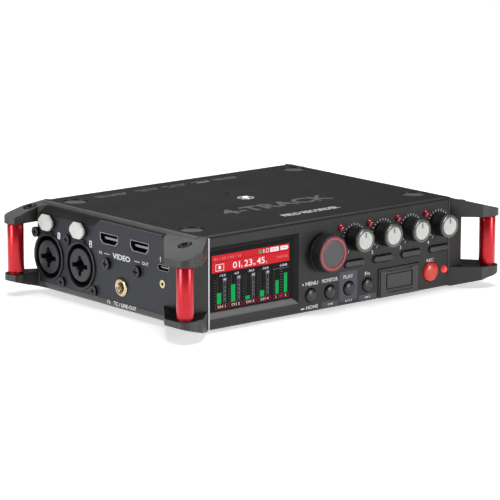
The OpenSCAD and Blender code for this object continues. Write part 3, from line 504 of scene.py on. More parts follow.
def addPiece(name, shape, finish, body, stands=(), home=None, smooth=32):
    # home: the piece's own frame, so that turned finishes follow its axis
    home = home or Matrix.Identity(4)
    shape.transform(home.inverted())
    bmesh.ops.recalc_face_normals(shape, faces=shape.faces)
    limit = math.radians(smooth)
    for edge in shape.edges:
        edge.smooth = len(edge.link_faces) == 2 and edge.calc_face_angle(0) < limit
    for face in shape.faces:
        face.smooth = True
    shape.transform(Matrix.Scale(mm, 4))
    mesh = meshOf(name, shape)
    mesh.materials.append(finish)
    piece = newObject(name, mesh)
    placed = home.copy()
    placed.translation = home.translation * mm
    piece.matrix_world = placed
    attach(piece, body)
    if stands:
        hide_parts(*stands)


def turnedPiece(name, profile, finish, body, home, steps, wave=None, stands=()):
    shape = bmesh.new()
    lathe(shape, home, profile, steps=steps, wave=wave)
    addPiece(name, shape, finish, body, stands=stands, home=home)


def domed(radius, wall, top, step, power=1.0):
    # a profile from the wall's edge over the crown to the middle
    angles = [math.radians(a) for a in range(0, 90, step)]
    curve = [(radius * math.cos(a), wall + (top - wall) * math.sin(a) ** power) for a in angles]
    return curve + [(0, top)]


def knurl(facts, low, high):
    # grooves round a skirt between two heights
    def groove(angle, height):
        if not low < height < high:
            return 0
        return facts["grooveDepth"] * (0.5 - 0.5 * math.cos(facts["grooves"] * angle)) ** facts["sharpness"]
    return groove


# finishes and soft edges on the frame's own nodes

nodeFinishes = [
    (powderBlack, "top_cover bottom_cover"), (bezelPaint, "front_bezel"), (brightCut, "edge_trims"),
    (slatePaint, "left_panel right_panel rear_panel battery_door"), (bayGrain, "adapter_cover"),
    (blackScrew, "cover_screws jack_screws clamp_screws"), (screenGlass, "lcd_window"),
    (displayBoard, "lcd_module"), (turnedSteel, "dial_shaft door_pin cell_contacts"),
    (darkMoulded, "dial_encoder gain_pots adapter_socket power_slider door_latch battery_tray"),
    (boardGreen, "front_board main_board"), (goldPlate, "combo_contacts lock_insert"),
    (socketSteel, "digital_sockets card_socket"), (footRubber, "rubber_feet"), (cellSleeve, "battery_cells"),
    (tabWhite, "latch_tab_1 latch_tab_2 latch_tab_3 latch_tab_4")]
edgeWidths = [
    (0.35, "top_cover bottom_cover"), (0.3, "battery_door latch_tab_1 latch_tab_2 latch_tab_3 latch_tab_4"),
    (0.25, "left_panel right_panel rear_panel rubber_feet"), (0.2, "front_bezel power_slider"),
    (0.18, "adapter_cover jack_screws clamp_screws"), (0.15, "edge_trims cover_screws"),
    (0.12, "door_latch"), (0.1, "digital_sockets")]


def softenEdges(part, width):
    weld = part.modifiers.new("joined", "WELD")
    weld.merge_threshold = 2 * micron
    flatten = part.modifiers.new("flats", "DECIMATE")
    flatten.decimate_type = "DISSOLVE"
    flatten.angle_limit = math.radians(0.6)
    bevel = part.modifiers.new("softEdges", "BEVEL")
    bevel.width = width * mm
    bevel.segments = 2
    bevel.limit_method = "ANGLE"
    bevel.angle_limit = math.radians(28)
    even = part.modifiers.new("evenShading", "WEIGHTED_NORMAL")
    even.keep_sharp = True


for finish, names in nodeFinishes:
    for node in names.split():
        part = cadNodes[node]
        part.data.materials.clear()
        part.data.materials.append(finish)
        for face in part.data.polygons:
            face.use_smooth = True
            face.material_index = 0
for width, names in edgeWidths:
    for node in names.split():
        softenEdges(cadNodes[node], width)


def secondFinish(node, finish, chosen):
    # the faces that chosen picks, by middle in millimetres and normal, take another finish
    part = cadNodes[node]
    part.data.materials.append(finish)
    index = len(part.data.materials) - 1
    for face in part.data.polygons:
        if chosen(face.center / mm, face.normal):
            face.material_index = index
    part.modifiers["flats"].delimit = {"MATERIAL"}


glassLow, glassHigh = span("lcd_window")


def nearScreen(place):
    return faceY + 0.05 < place.y < glassLow.y + 0.05 and place.x < glassHigh.x + 5


def onSurround(place, normal):  # the sides and top of the slope round the screen, painted near-black as painted shade
    return nearScreen(place) and glassLow.x - 2 < place.x and normal.z < 0.3 and place.z > glassLow.z - 3


def onSill(place, normal):  # the slope under the screen, painted a lighter grey as painted light
    return nearScreen(place) and normal.z > 0.3 and place.z < glassLow.z + 0.5


def slanted(place, normal):
    return abs(normal.z) < 0.985


def onPads(place, normal):  # the floors of the four round pockets, painted pale grey as a painted highlight
    return normal.z > 0.985 and topZ - 1 < place.z < topZ - 0.6 and abs(place.x) > 60


secondFinish("front_bezel", surroundPaintedShade, onSurround)
secondFinish("front_bezel", sillPaintedLight, onSill)
# the right half of the trims takes dark satin black instead of bright metal: painted shade
secondFinish("edge_trims", satinBlack, lambda place, normal: place.x > 0)
secondFinish("top_cover", satinBlack, slanted)
secondFinish("top_cover", pocketFloorPaintedHighlight, onPads)
# the adapter cover's side walls take near-black: painted shade in the gaps round the cover
secondFinish("adapter_cover", knurlBlack, lambda place, normal: abs(normal.y) < 0.5)
secondFinish("bottom_cover", satinBlack, slanted)
print("frame nodes finished")


# corner posts

post = {"radius": 4.1, "gap": 25.5, "chamfer": 0.5, "neck": 0.5, "spigot": 2.2}
postLow, postHigh = span("corner_posts")
spigotEnd = (postHigh.z - postLow.z) / 2
radius = post["radius"]
gapEnd = post["gap"] / 2
barEnd = gapEnd - post["neck"]
upper = [
    (radius, barEnd - post["chamfer"]), (radius - post["chamfer"] * 0.4, barEnd - 0.15),
    (radius - post["chamfer"], barEnd), (radius - post["chamfer"], gapEnd),
    (post["spigot"], gapEnd), (post["spigot"], spigotEnd)]
lower = [(wide, -height) for wide, height in reversed(upper)]
posts = bmesh.new()
for x in (postLow.x + radius, postHigh.x - radius):
    for y in (postLow.y + radius, postHigh.y - radius):
        home = Matrix.Translation((x, y, (postLow.z + postHigh.z) / 2))
        lathe(posts, home, [(0, -spigotEnd)] + lower + upper + [(0, spigotEnd)], steps=72)
addPiece("red_posts", posts, redAnodised, "case", stands=["corner_posts"])

# push dial

dial = {"grooves": 84, "grooveDepth": 0.26, "sharpness": 0.6, "ringOuter": 8.2, "ringInner": 6.95,
        "cap": 6.85, "hole": 3.1}
spot = onBezel("dial_knob")
front, back = spot.front, spot.back
radius = spot.width / 2
outer, inner, cap = dial["ringOuter"], dial["ringInner"], dial["cap"]
turnedPiece("dial_skirt", [
    (dial["hole"], back), (radius - 0.3, back), (radius, back + 0.35), (radius, back + 0.5),
    (radius - 0.1, front - 4.0), (radius - 0.35, front - 2.0), (radius - 0.55, front - 1.0),
    (radius - 0.8, front - 0.3), (radius - 1.0, front - 0.05), (outer + 0.05, front - 0.05),
    (outer, front - 0.5), (dial["hole"], front - 0.5)],
    dialKnurl, "dial", spot.home, dial["grooves"] * 6,
    wave=knurl(dial, back + 0.4, front - 0.9), stands=["dial_knob"])
turnedPiece("dial_red_ring", [
    (inner, front - 0.45), (outer - 0.02, front - 0.45), (outer - 0.02, front - 0.1),
    (outer - 0.15, front + 0.03), (inner + 0.15, front + 0.03), (inner, front - 0.1)],
    ringRed, "dial", spot.home, 120, stands=["dial_ring"])
turnedPiece("dial_cap", [
    (0, front - 0.45), (cap + 0.1, front - 0.45), (cap + 0.1, front - 0.2), (cap - 0.1, front - 0.12),
    (cap * 0.6, front - 0.06), (0, front - 0.04)],
    capGrey, "dial", spot.home, 120)

# gain knobs

gain = {"grooves": 44, "grooveDepth": 0.24, "sharpness": 0.7, "rimFrom": 1.5, "capRadius": 4.35, "hole": 1.6,
        "pointer": (0.66, 2.5), "pointerOut": 2.6}
ticks = {"count": 21, "step": 15, "near": 6.5, "far": 7.5, "endLonger": 0.55, "width": 0.34}
scale = {"outer": 7.7, "inner": 5.6, "reach": 152, "step": 8}
arc = [(math.sin(math.radians(a)), math.cos(math.radians(a)))
       for a in range(-scale["reach"], scale["reach"] + 1, scale["step"])]
band = [(x * scale["outer"], y * scale["outer"]) for x, y in arc]
band += [(x * scale["inner"], y * scale["inner"]) for x, y in reversed(arc)]
whiteMarks = bmesh.new()
scaleRings = bmesh.new()
for k in range(1, 5):
    spot = onBezel(f"gain_knob_{k}")
    home, front, back = spot.home, spot.front, spot.back
    reach = spot.width / 2
    rim = front - gain["rimFrom"]
    cap = gain["capRadius"]
    body = f"gain_{k}"
    turnedPiece(f"gain_skirt_{k}", [
        (gain["hole"], back), (reach - 0.25, back), (reach, back + 0.3), (reach, back + 0.6),
        (reach - 0.02, back + 0.9), (reach - 0.08, rim - 0.4), (reach - 0.25, rim), (cap, rim),
        (cap, rim + 0.1), (gain["hole"], rim + 0.1)],
        knurlBlack, body, home, gain["grooves"] * 6,
        wave=knurl(gain, back + 0.7, rim - 0.1), stands=[f"gain_knob_{k}"])
    turnedPiece(f"gain_rim_{k}", [
        (cap + 0.02, rim + 0.05), (reach - 0.22, rim + 0.05), (reach - 0.08, rim + 0.2),
        (reach - 0.1, front - 0.5), (reach - 0.25, front - 0.15), (reach - 0.5, front), (cap + 0.15, front),
        (cap + 0.02, front - 0.15)],
        rimGrey, body, home, 96)
    turnedPiece(f"gain_face_{k}", [
        (0, rim + 0.15), (cap - 0.02, rim + 0.15), (cap - 0.02, front - 0.12), (cap - 0.15, front + 0.04),
        (cap - 0.4, front + 0.1), (0, front + 0.14)],
        capWhite, body, home, 96, stands=[f"gain_cap_{k}"])
    pointer = bmesh.new()
    slab(pointer, home @ Matrix.Translation((0, gain["pointerOut"], 0)), *gain["pointer"],
         front - 0.1, front + 0.17, soft=0.05)
    addPiece(f"gain_pointer_{k}", pointer, pointerBlack, body, home=home)
    stack(scaleRings, home, [(band, 0.0), (band, 0.02)])
    for t in range(ticks["count"]):  # from seven o'clock over twelve to five
        turn = Matrix.Rotation(math.radians(150 - t * ticks["step"]), 4, "Z")
        far = ticks["far"] + (ticks["endLonger"] if t in (0, ticks["count"] - 1) else 0.0)
        out = Matrix.Translation((0, (ticks["near"] + far) / 2, 0))
        slab(whiteMarks, home @ turn @ out, ticks["width"], far - ticks["near"], 0.0, 0.05)
    letters(whiteMarks, home @ Matrix.Translation((-6.8, -8.6, 0)), str(k), 1.7, bold=0.01)
addPiece("scale_rings", scaleRings, inkBlack, "case")
print("knobs made")

# lamps

lamp = {"radius": 1.88, "sunk": 4, "wall": 0.3, "top": 2.16, "peakLeft": 8.9, "peakUp": 6.3,
        "recordRight": 9.2}
recordKey = middle("rec_button")
lampRow = middle("gain_knob_1").z + lamp["peakUp"]
lamps = [(f"peak_lamp_{k}", middle(f"gain_knob_{k}").x - lamp["peakLeft"], lampRow, lampRed)
         for k in range(1, 5)]
lamps.append(("record_lamp", recordKey.x + lamp["recordRight"], recordKey.z, lampLit))
for name, x, z, finish in lamps:
    radius = lamp["radius"]
    foot = [(0, -lamp["sunk"]), (radius, -lamp["sunk"]), (radius, -0.2)]
    turnedPiece(name, foot + domed(radius, lamp["wall"], lamp["top"], 10), finish, "case",
                onFront(x, z), 48, stands=["signal_lamps"])
    turnedPiece(name + "_bezel", [(1.92, -0.05), (2.25, -0.05), (2.2, 0.12), (1.98, 0.16)], inkBlack,
                "case", onFront(x, z), 48)

# keys

slimKey = {"gap": 0.9, "radius": 1.59, "sunk": 3.2,
           "crown": ((0, 0.75), (0.1, 0.4), (0.3, 0.17), (0.62, 0.04), (1.1, 0))}
roundKey = {"radius": 3.25, "sunk": 3, "wall": 0.35}
record = {"radius": 4.8, "sunk": 3, "wall": 0.5, "fullness": 0.8}
for k in range(1, 5):
    spot = onBezel(f"channel_key_{k}")
    pad = bmesh.new()
    gap = 2 * slimKey["gap"]
    pillow(pad, spot.home, spot.width - gap, spot.height - gap, slimKey["radius"],
           [(0, -slimKey["sunk"])] + [(inset, spot.front - under) for inset, under in slimKey["crown"]])
    addPiece(f"channel_pad_{k}", pad, slimGrey, f"channel_{k}", stands=[f"channel_key_{k}"],
             home=spot.home)
for body in ("menu", "monitor", "play", "function"):
    spot = onBezel(body + "_key")
    foot = [(0, -roundKey["sunk"]), (roundKey["radius"], -roundKey["sunk"])]
    turnedPiece(body + "_dome", foot + domed(roundKey["radius"], roundKey["wall"], spot.front, 10), keyBlack,
                body, spot.home, 72, stands=[body + "_key"])
spot = onBezel("rec_button")
foot = [(0, -record["sunk"]), (record["radius"], -record["sunk"]), (record["radius"], 0.2)]
turnedPiece("record_dome", foot + domed(record["radius"], record["wall"], spot.front, 9, record["fullness"]),
            recordRedPaintedGlow, "rec", spot.home, 96, stands=["rec_button"])
print("keys made")

# marks on the bezel

signLift = 0.03  # signs printed over a slate field stand this much higher
keyWords = [  # word, x, z, height, width
    ("MENU", -13.4, 15.3, 1.85, 8.0), ("MONITOR", -1.75, 15.35, 1.85, 10.3), ("PLAY", 10.2, 15.5, 1.75, 6.4),
    ("Fn", 22.7, 15.2, 1.8, 3.1), ("HOME", -13.1, 3.6, 1.75, 7.6), ("REC", 65.0, 16.2, 1.55, 4.9)]
for word, x, z, height, width in keyWords:
    lift = signLift if word == "PLAY" else 0.0
    letters(whiteMarks, onFront(x, z, lift), word, height, width=width, bold=0.012)
lathe(whiteMarks, onFront(-19.0, 15.3), [(0, 0), (0.42, 0), (0.42, 0.05), (0, 0.05)], steps=20)
slab(whiteMarks, onFront(-19.2, 3.4), 2.2, 0.6, 0, 0.05)


def arrow(target, place, size, way):
    tip = [(-way * size / 2, -size / 2), (way * size / 2, 0), (-way * size / 2, size / 2)][::way]
    stack(target, place, [(tip, 0.0), (tip, 0.05)])


for centre, signs in ((-1.6, "bar left left"), (10.7, "right slash bar bar"), (23.1, "right right bar")):
    signs = signs.split()
    for n, sign in enumerate(signs):
        place = onFront(centre + (n - (len(signs) - 1) / 2) * 1.15, 3.4, signLift)
        if sign in ("left", "right"):
            arrow(whiteMarks, place, 1.05, 1 if sign == "right" else -1)
        else:
            slab(whiteMarks, place, 0.28, 1.1, 0, 0.05)
addPiece("bezel_white_marks", whiteMarks, inkWhite, "case")

playField = {"width": 11.8, "height": 14.7, "keyHole": 3.75, "middle": (10.3, 10.7), "thick": 0.03}
playKey = middle("play_key")
plate = bmesh.new()
outline = roundedOutline(playField["width"], playField["height"], 0.3)
stack(plate, Matrix.Identity(4), [(outline, 0.0), (outline, playField["thick"])])
keyHole = bmesh.new()
holeX = playKey.x - playField["middle"][0]
holeY = playKey.z - playField["middle"][1]
lathe(keyHole, Matrix.Translation((holeX, holeY, 0)), [
    (0, -1), (playField["keyHole"], -1), (playField["keyHole"], 1), (0, 1)])
slate = carve("plate", plate, [keyHole])
slate.transform(onFront(*playField["middle"]))
for x, width in ((-1.6, 10.6), (23.0, 11.6)):  # narrow strips under the neighbouring keys
    outline = roundedOutline(width, 2.5, 0.2)
    stack(slate, onFront(x, 3.6), [(outline, 0.0), (outline, playField["thick"])])
addPiece("play_field", slate, inkSlate, "case")
print("bezel marks made")

# screen

display = {"header": (33.3, 36.6), "clock": (28.2, 33.3), "left": -74.5, "right": -26.8, "lift": 0.03,
           "gap": 0.08, "ink": 0.02}
glow = {  # colour, the dimmer colour between its cells, strength
    "red": ((0.66, 0.018, 0.028), (0.52, 0.012, 0.02), 0.95),
    "white": ((0.86, 0.86, 0.88), (0.74, 0.74, 0.76), 0.95),
    "pink": ((0.72, 0.28, 0.28), (0.6, 0.2, 0.2), 0.85),
    "green": ((0.0, 0.4, 0.09), (0.0, 0.3, 0.06), 0.95),
    "grey": ((0.2, 0.2, 0.21), (0.14, 0.14, 0.15), 0.9),
    "deepRed": ((0.4, 0.012, 0.024), (0.3, 0.01, 0.018), 0.9),
}
screenParts = {colour: bmesh.new() for colour in glow}
glassOut = faceY - glassLow.y


def onGlass(x, z, layer=0):
    return onFront(x, z, glassOut + display["lift"] * (1 + layer))


def field(colour, x0, x1, z0, z1, layer=0, radius=0.02):
    outline = roundedOutline(x1 - x0, z1 - z0, radius, steps=3)
    stack(screenParts[colour], onGlass((x0 + x1) / 2, (z0 + z1) / 2, layer),
          [(outline, 0.0), (outline, display["ink"])])


def frameField(colour, x0, x1, z0, z1, line):
    field(colour, x0, x1, z1 - line, z1, 1)
    field(colour, x0, x1, z0, z0 + line, 1)
    field(colour, x0, x0 + line, z0 + line, z1 - line, 1)
    field(colour, x1 - line, x1, z0 + line, z1 - line, 1)


def disc(colour, x, z, radius):
    lathe(screenParts[colour], onGlass(x, z, 1), [
        (0, 0), (radius, 0), (radius, display["ink"]), (0, display["ink"])], steps=24)


def words(colour, text, x, z, height, layer=1, **shape):
    letters(screenParts[colour], onGlass(x, z, layer), text, height, depth=display["ink"], **shape)


def dots(x0, x1):  # the dotted scale beside a level bar
    for n in range(10):
        field("grey", x0, x1, 13.3 + n * 1.25, 13.45 + n * 1.25)


left, right = display["left"], display["right"]
field("red", left, right, display["header"][0] + display["gap"], display["header"][1])
field("red", left, right, display["clock"][0], display["clock"][1] - display["gap"])
words("pink", "01 / 23 / 45 / 15", -73.3, 34.8, 1.25, width=16.6, align=-1)
for text, x, width in (("01", -59.6, 4.3), ("23", -52.3, 4.9), ("45", -44.6, 4.9)):
    words("white", text, x, 30.6, 3.1, width=width, bold=0.008)
for text, x, z, height in (("h", -56.2, 29.5, 1.3), ("m", -48.6, 29.4, 0.95), ("s", -41.1, 29.4, 0.95)):
    words("white", text, x, z, height)
words("pink", "TAKE 001", -31.4, 30.8, 1.1, width=7.0)
frameField("white", -72.3, -67.2, 28.95, 32.2, 0.26)
disc("white", -69.8, 30.6, 0.85)
disc("green", -45.0, 34.9, 0.95)
words("white", "B", -42.7, 34.9, 1.7, width=0.9)
frameField("white", -41.4, -39.6, 34.0, 35.8, 0.22)
field("white", -38.7, -33.4, 33.9, 36.0, layer=1, radius=0.3)
words("red", "DATA", -36.0, 34.95, 1.1, width=3.8, layer=2)
field("white", -32.4, -27.9, 34.0, 35.9, layer=1, radius=0.3)
field("white", -27.9, -27.4, 34.6, 35.3, layer=1)
field("red", -31.9, -28.4, 34.85, 35.05, layer=2)

meters = [  # bar's left edge, its top, its level's text and width
    (-71.5, 18.4, "-12.0", 3.9), (-62.9, 21.4, "-6.0", 2.9), (-54.0, 14.7, "-36.0", 3.9),
    (-45.1, 16.0, "-24.0", 3.9)]
for number, (left, level, text, width) in enumerate(meters, 1):
    field("green", left, left + 2.6, 13.1, level)
    dots(left - 1.5, left - 0.9)
    dots(left + 3.1, left + 3.5)
    for n in range(int((26.0 - level) / 0.5)):
        field("grey", left + 0.1, left + 0.35, level + 0.4 + n * 0.5, level + 0.55 + n * 0.5)
    field("grey", left + 4.1, left + 4.35, 13.2, 25.2)
    field("grey", left + 5.2, left + 5.45, 13.2, 25.2)
    for n in range(4):
        words("grey", "|", left + 4.75, 15.0 + n * 1.9, 1.0, width=0.3)
    field("grey", left + 3.7, left + 5.9, 23.6, 25.3, layer=1, radius=0.2)
    field("white", left + 4.2, left + 5.4, 24.35, 24.6, layer=2)
    words("white", text, left + 3.3, 26.6, 1.05, width=width)
    frameField("deepRed", left - 1.1, left + 6.7, 10.7, 12.7, 0.22)
    words("white", f"CH {number}", left + 2.8, 11.7, 1.05, width=4.9)
for left, level in ((-35.4, 19.6), (-30.1, 22.6)):
    field("green", left, left + 2.0, 13.1, level)
dots(-36.6, -36.1)
dots(-32.6, -30.9)
words("white", "-6.0dB", -30.6, 26.6, 1.05, width=4.9)
field("grey", -37.0, -27.2, 25.1, 25.3)
frameField("deepRed", -36.6, -27.2, 10.7, 12.7, 0.22)
words("white", "L", -34.9, 11.7, 1.05)
field("deepRed", -33.2, -30.8, 11.2, 12.2, layer=1)
words("white", "R", -29.0, 11.7, 1.05)
for colour, facts in glow.items():
    lit = makeGlow("glow" + colour[0].upper() + colour[1:], *facts)
    addPiece(f"display_{colour}", screenParts[colour], lit, "case")
print("screen drawn")

# combination jacks

combo = {"flange": 12.0, "proud": 1.0, "bore": 10.4, "depth": 22.5, "insert": 8.35, "plug": 3.2,
         "plugDepth": 19, "keyway": 2.4, "keyways": ((0, 4.9), (94, 6.3), (-94, 6.3), (180, 5.6)),
         "keywayDepth": 9.0, "tabRise": 17.4, "ribs": 7}
flange, proud, bore, depth = combo["flange"], combo["proud"], combo["bore"], combo["depth"]
jackPlaces = []
for n, place in ((1, onLeft), (2, onLeft), (3, onRight), (4, onRight)):
    tab = middle(f"latch_tab_{n}")
    jackPlaces.append((n, place, tab.y, tab.z - combo["tabRise"]))
rings = bmesh.new()
ribs = bmesh.new()
for n, place, y, z in jackPlaces:
    home = place(y, z)
    lathe(rings, home, [
        (bore, -depth), (bore + 1.0, -depth), (flange - 0.55, -2.2), (flange - 0.55, 0.0),
        (flange - 0.05, 0.0), (flange, 0.15), (flange, proud - 0.35), (flange - 0.12, proud - 0.12),
        (flange - 0.4, proud), (flange - 0.9, proud), (flange - 1.15, proud - 0.25),
        (bore + 0.1, proud - 0.5), (bore, proud - 0.8)], steps=96)
    for t in range(combo["ribs"]):  # ribs at the foot of the latch
        slab(ribs, home @ Matrix.Translation(((t - 3) * 1.1, 12.35, 0)), 0.6, 1.5, 0.0, 0.95, soft=0.1)
addPiece("jack_rings", rings, jackBlack, "case", stands=["combo_housings"])
addPiece("latch_ribs", ribs, jackBlack, "case")

# the insert has the quarter-inch hole, and keyways from it to the contact holes
inserts = bmesh.new()
for n, place, y, z in jackPlaces:
    solid = bmesh.new()
    face = combo["insert"]
    lathe(solid, Matrix.Identity(4), [
        (0, -depth), (face, -depth), (face, 0.35), (face - 0.3, 0.7), (face - 0.9, 0.78),
        (0, 0.78)], steps=72)
    hole = bmesh.new()
    plug = combo["plug"]
    lathe(hole, Matrix.Identity(4), [
        (0, -combo["plugDepth"]), (plug, -combo["plugDepth"]), (plug, 0.3), (plug + 0.8, 1.2),
        (0, 1.2)], steps=48)
    cutters = [hole]
    for angle, reach in combo["keyways"]:
        way = bmesh.new()
        home = Matrix.Rotation(math.radians(angle), 4, "Z") @ Matrix.Translation((0, reach / 2, 0))
        pillow(way, home, combo["keyway"], reach, 1.15, [(0, -combo["keywayDepth"]), (0, 1.5)])
        cutters.append(way)
    carved = carve("insert", solid, cutters)
    carved.transform(place(y, z))
    inserts.from_mesh(meshOf("carvedInsert", carved))
addPiece("jack_inserts", inserts, jackGrey, "case", stands=["combo_inserts"], smooth=25)
print("jacks made")

# small jacks and threads

bushing = {"outer": 4.6, "inner": 3.3, "bore": 1.8, "proud": 1.2, "body": 4.4, "neck": 3.5, "depth": 12.7,
           "axis": 14.4}
outer, inner, bore, proud = bushing["outer"], bushing["inner"], bushing["bore"], bushing["proud"]
bushings = bmesh.new()
for place, y in ((onLeft, -4.6), (onRight, -12.0), (onRight, -26.0)):
    lathe(bushings, place(y, bushing["axis"]), [
        (bore, -bushing["depth"]), (bushing["body"], -bushing["depth"]), (bushing["body"], -2.2),
        (bushing["neck"], -2.2), (bushing["neck"], 0.02), (outer - 0.05, 0.02), (outer, 0.15), (outer, 0.5),
        (outer - 0.45, 0.98), (inner + 0.35, proud - 0.02), (inner, proud - 0.08),
        (inner - 0.25, proud - 0.4), (bore + 0.75, proud - 0.5), (bore + 0.15, -0.6), (bore, -1.0)], steps=72)
addPiece("gold_bushings", bushings, goldPlate, "case", stands=["mini_jacks"])

thread = {"outer": 4.5, "core": 2.6, "crest": 3.1, "pitch": 1.27, "turns": 6, "from": -1.2}
outer, core, crest = thread["outer"], thread["core"], thread["crest"]
wall = []
for n in range(thread["turns"]):
    valley = thread["from"] - n * thread["pitch"]
    wall += [(core, valley), (crest, valley - 0.5 * thread["pitch"])]
bottom = thread["from"] - thread["turns"] * thread["pitch"]
insertY = middle("tripod_inserts").y
threads = bmesh.new()
for home in (onTop(0, insertY), onBase(0, insertY)):
    lathe(threads, home, [
        (core, bottom), (outer, bottom), (outer, -0.2), (outer - 0.2, -0.02), (crest + 0.35, -0.02),
        (core + 0.1, -0.7)] + wall)
addPiece("thread_inserts", threads, insertSteel, "case", stands=["tripod_inserts"])

# marks on the sides, top and rear

sideMarks = bmesh.new()
numberMarks = bmesh.new()
textRow = 28.7
headphones = {"y": 5.9, "z": 5.3, "band": 0.72}
tag = {"aside": 8.0, "up": 11.7, "width": 2.1, "height": 3.3, "thick": 0.04}
letters(sideMarks, onLeft(12.1, textRow), "IN", 1.5, width=2.2)
slab(sideMarks, onLeft(7.0, textRow), 4.4, 0.28, 0, 0.05)
letters(sideMarks, onLeft(-4.4, textRow), "VIDEO", 2.7, width=13.6, bold=0.02)
slab(sideMarks, onLeft(-16.5, textRow), 4.2, 0.28, 0, 0.05)
letters(sideMarks, onLeft(-23.0, textRow), "OUT", 1.6, width=4.9)
letters(sideMarks, onLeft(-7.0, 5.4), "TC / LINE-OUT", 1.9, width=17.6, bold=0.02)
headband = [(math.cos(math.radians(a)), math.sin(math.radians(a))) for a in range(0, 181, 20)]
headband += [(headphones["band"] * x, headphones["band"] * y) for x, y in reversed(headband)]
stack(sideMarks, onLeft(headphones["y"], headphones["z"]), [(headband, 0.0), (headband, 0.05)])
for way in (-1, 1):
    slab(sideMarks, onLeft(headphones["y"] + way * 0.85, headphones["z"] - 0.3), 0.6, 1.0, 0, 0.05)
for n, place, y, z in jackPlaces:
    tagY = y + (-tag["aside"] if place is onLeft else tag["aside"])
    tagSides = [(0, 0), (0, tag["thick"])]
    pillow(sideMarks, place(tagY, z + tag["up"]), tag["width"], tag["height"], 0.3, tagSides)
    number = {1: "2", 2: "1", 3: "3", 4: "4"}[n]
    letters(numberMarks, place(tagY, z + tag["up"], tag["thick"]), number, 2.3, bold=0.03, depth=0.02)
slab(sideMarks, onLeft(-34.6, 32.4), 0.3, 1.8, 0, 0.05)
arrowHead = [(-0.5, -0.4), (0.5, -0.4), (0, 0.5)]
stack(sideMarks, onLeft(-34.6, 33.6), [(arrowHead, 0.0), (arrowHead, 0.05)])
rightWords = [  # word, y, z, height
    ("TC IN", -12.0, 21.5, 1.5), ("PHONES", -26.0, 21.5, 1.5), ("MEMORY CARD", -30.0, 35.4, 1.4),
    ("POWER", -10.0, 35.4, 1.4), ("I", -17.6, 31.0, 1.4), ("O", -2.6, 31.0, 1.4)]
for word, y, z, height in rightWords:
    letters(sideMarks, onRight(y, z), word, height)
addPiece("side_marks", sideMarks, inkWhite, "case")
addPiece("channel_numbers", numberMarks, inkBlack, "case")

modelMark = bmesh.new()
letters(modelMark, onTop(-0.7, -18.3), "4-TRACK", 11.2, width=68.5, bold=0.022, depth=0.05)
addPiece("top_model_mark", modelMark, inkGrey, "case")
nameMark = bmesh.new()
letters(nameMark, onTop(1.0, -42.0), "FIELD RECORDER", 4.6, width=35.5, bold=0.03, depth=0.05)
addPiece("top_name_mark", nameMark, inkWhite, "case")
smallMarks = bmesh.new()
topWords = [  # words, x, y, width
    ("CH 3 / 4  LINE IN", -48.0, 54.6, 19.0), ("LINKED PAIRS", -25.0, 54.6, 14.0),
    ("48V  LIMITER", -7.5, 54.6, 15.0), ("4-TRACK", 10.0, 54.6, 12.0), ("VIDEO  DATA", 25.5, 54.6, 15.0),
    ("MIC / LINE 24 BIT", -48.0, 51.7, 17.0), ("MIX L R", -25.0, 51.7, 10.0), ("LOW CUT", -7.5, 51.7, 11.0),
    ("TIME CODE", 25.5, 51.7, 13.0)]
for text, x, y, width in topWords:
    letters(smallMarks, onTop(x, y), text, 1.7, width=width, depth=0.05)
for x, width in ((-48.0, 19.0), (25.5, 15.0)):
    slab(smallMarks, onTop(x, 53.1), width, 0.18, 0, 0.05)
pillow(smallMarks, onTop(10.0, 52.0), 8.0, 1.9, 0.2, [(0, 0), (0, 0.05)])
addPiece("top_small_marks", smallMarks, inkDim, "case")

rearMarks = bmesh.new()
letters(rearMarks, onRear(0, 14.5), "BATTERY  4 x 1.5 V", 2.0)
letters(rearMarks, onRear(0, span("door_latch")[0].z - 2.6), "OPEN", 1.5)
for x, sign in ((-24, "+"), (24, "-")):
    letters(rearMarks, onRear(x, 14.5), sign, 1.6)
addPiece("rear_marks", rearMarks, inkWhite, "door")
print("marks made")

# floor, light and camera

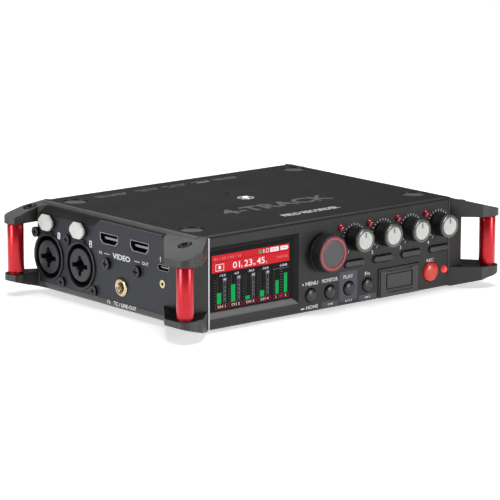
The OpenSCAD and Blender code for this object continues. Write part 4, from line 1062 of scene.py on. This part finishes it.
studio = {
    "floor": (0.9, 0.9, 0.9), "floorSize": 8.0, "floorGlow": 0.62, "world": 0.06, "aim": (0, 0, 0.03),
    "softboxes": {  # place, size, power
        "top": ((0.0, -0.1, 1.6), 1.1, 17.0), "left": ((-1.6, 0.2, 0.3), 0.5, 13.0),
        "front": ((0.7, -1.7, 0.35), 0.5, 14.0), "back": ((0.9, 1.5, 1.2), 0.9, 4.4)},
}
floorShape = bmesh.new()
bmesh.ops.create_grid(floorShape, x_segments=2, y_segments=2, size=studio["floorSize"])
floorMesh = meshOf("floor", floorShape)
paper, paperTree, paperShader = blankFinish("paleFloor")
paperNoise = addNode(paperTree, "ShaderNodeTexNoise", Scale=3.0)
paperShade = tuple(c * 0.99 for c in studio["floor"])
paperTone = mixColours(paperTree, paperNoise.outputs["Fac"], studio["floor"], paperShade)
paperTree.links.new(paperTone, paperShader.inputs["Base Color"])
paperTree.links.new(paperTone, paperShader.inputs["Emission Color"])
setInputs(paperShader, Emission_Strength=studio["floorGlow"], Roughness=0.9, Specular_IOR_Level=0.1)
floorMesh.materials.append(paper)
newObject("floor", floorMesh)

world = bpy.data.worlds.new("softRoom")
world.use_nodes = True
setInputs(world.node_tree.nodes["Background"], Color=(1, 1, 1, 1), Strength=studio["world"])
bpy.context.scene.world = world
for name, (place, size, power) in studio["softboxes"].items():
    light = bpy.data.lights.new(name + "Softbox", "AREA")
    light.shape = "SQUARE"
    light.size = size
    light.energy = power
    softbox = newObject(name + "Softbox", light)
    softbox.location = place
    softbox.rotation_euler = (Vector(place) - Vector(studio["aim"])).to_track_quat("Z", "Y").to_euler()

viewpoint = {"place": (-0.9004, -1.0694, 0.3112), "yaw": -0.69866, "pitch": 0.205134, "roll": 0.00162,
             "lens": 205.84, "sensor": 36.0}
lens = bpy.data.cameras.new("camera")
lens.lens = viewpoint["lens"]
lens.sensor_width = viewpoint["sensor"]
camera = newObject("camera", lens)
turn = Matrix.Rotation(viewpoint["yaw"], 4, "Z") @ Matrix.Rotation(math.pi / 2 - viewpoint["pitch"], 4, "X")
roll = Matrix.Rotation(viewpoint["roll"], 4, "Z")
camera.matrix_world = Matrix.Translation(viewpoint["place"]) @ turn @ roll
bpy.context.scene.camera = camera
bpy.context.scene.view_settings.view_transform = "Standard"
print("studio ready")
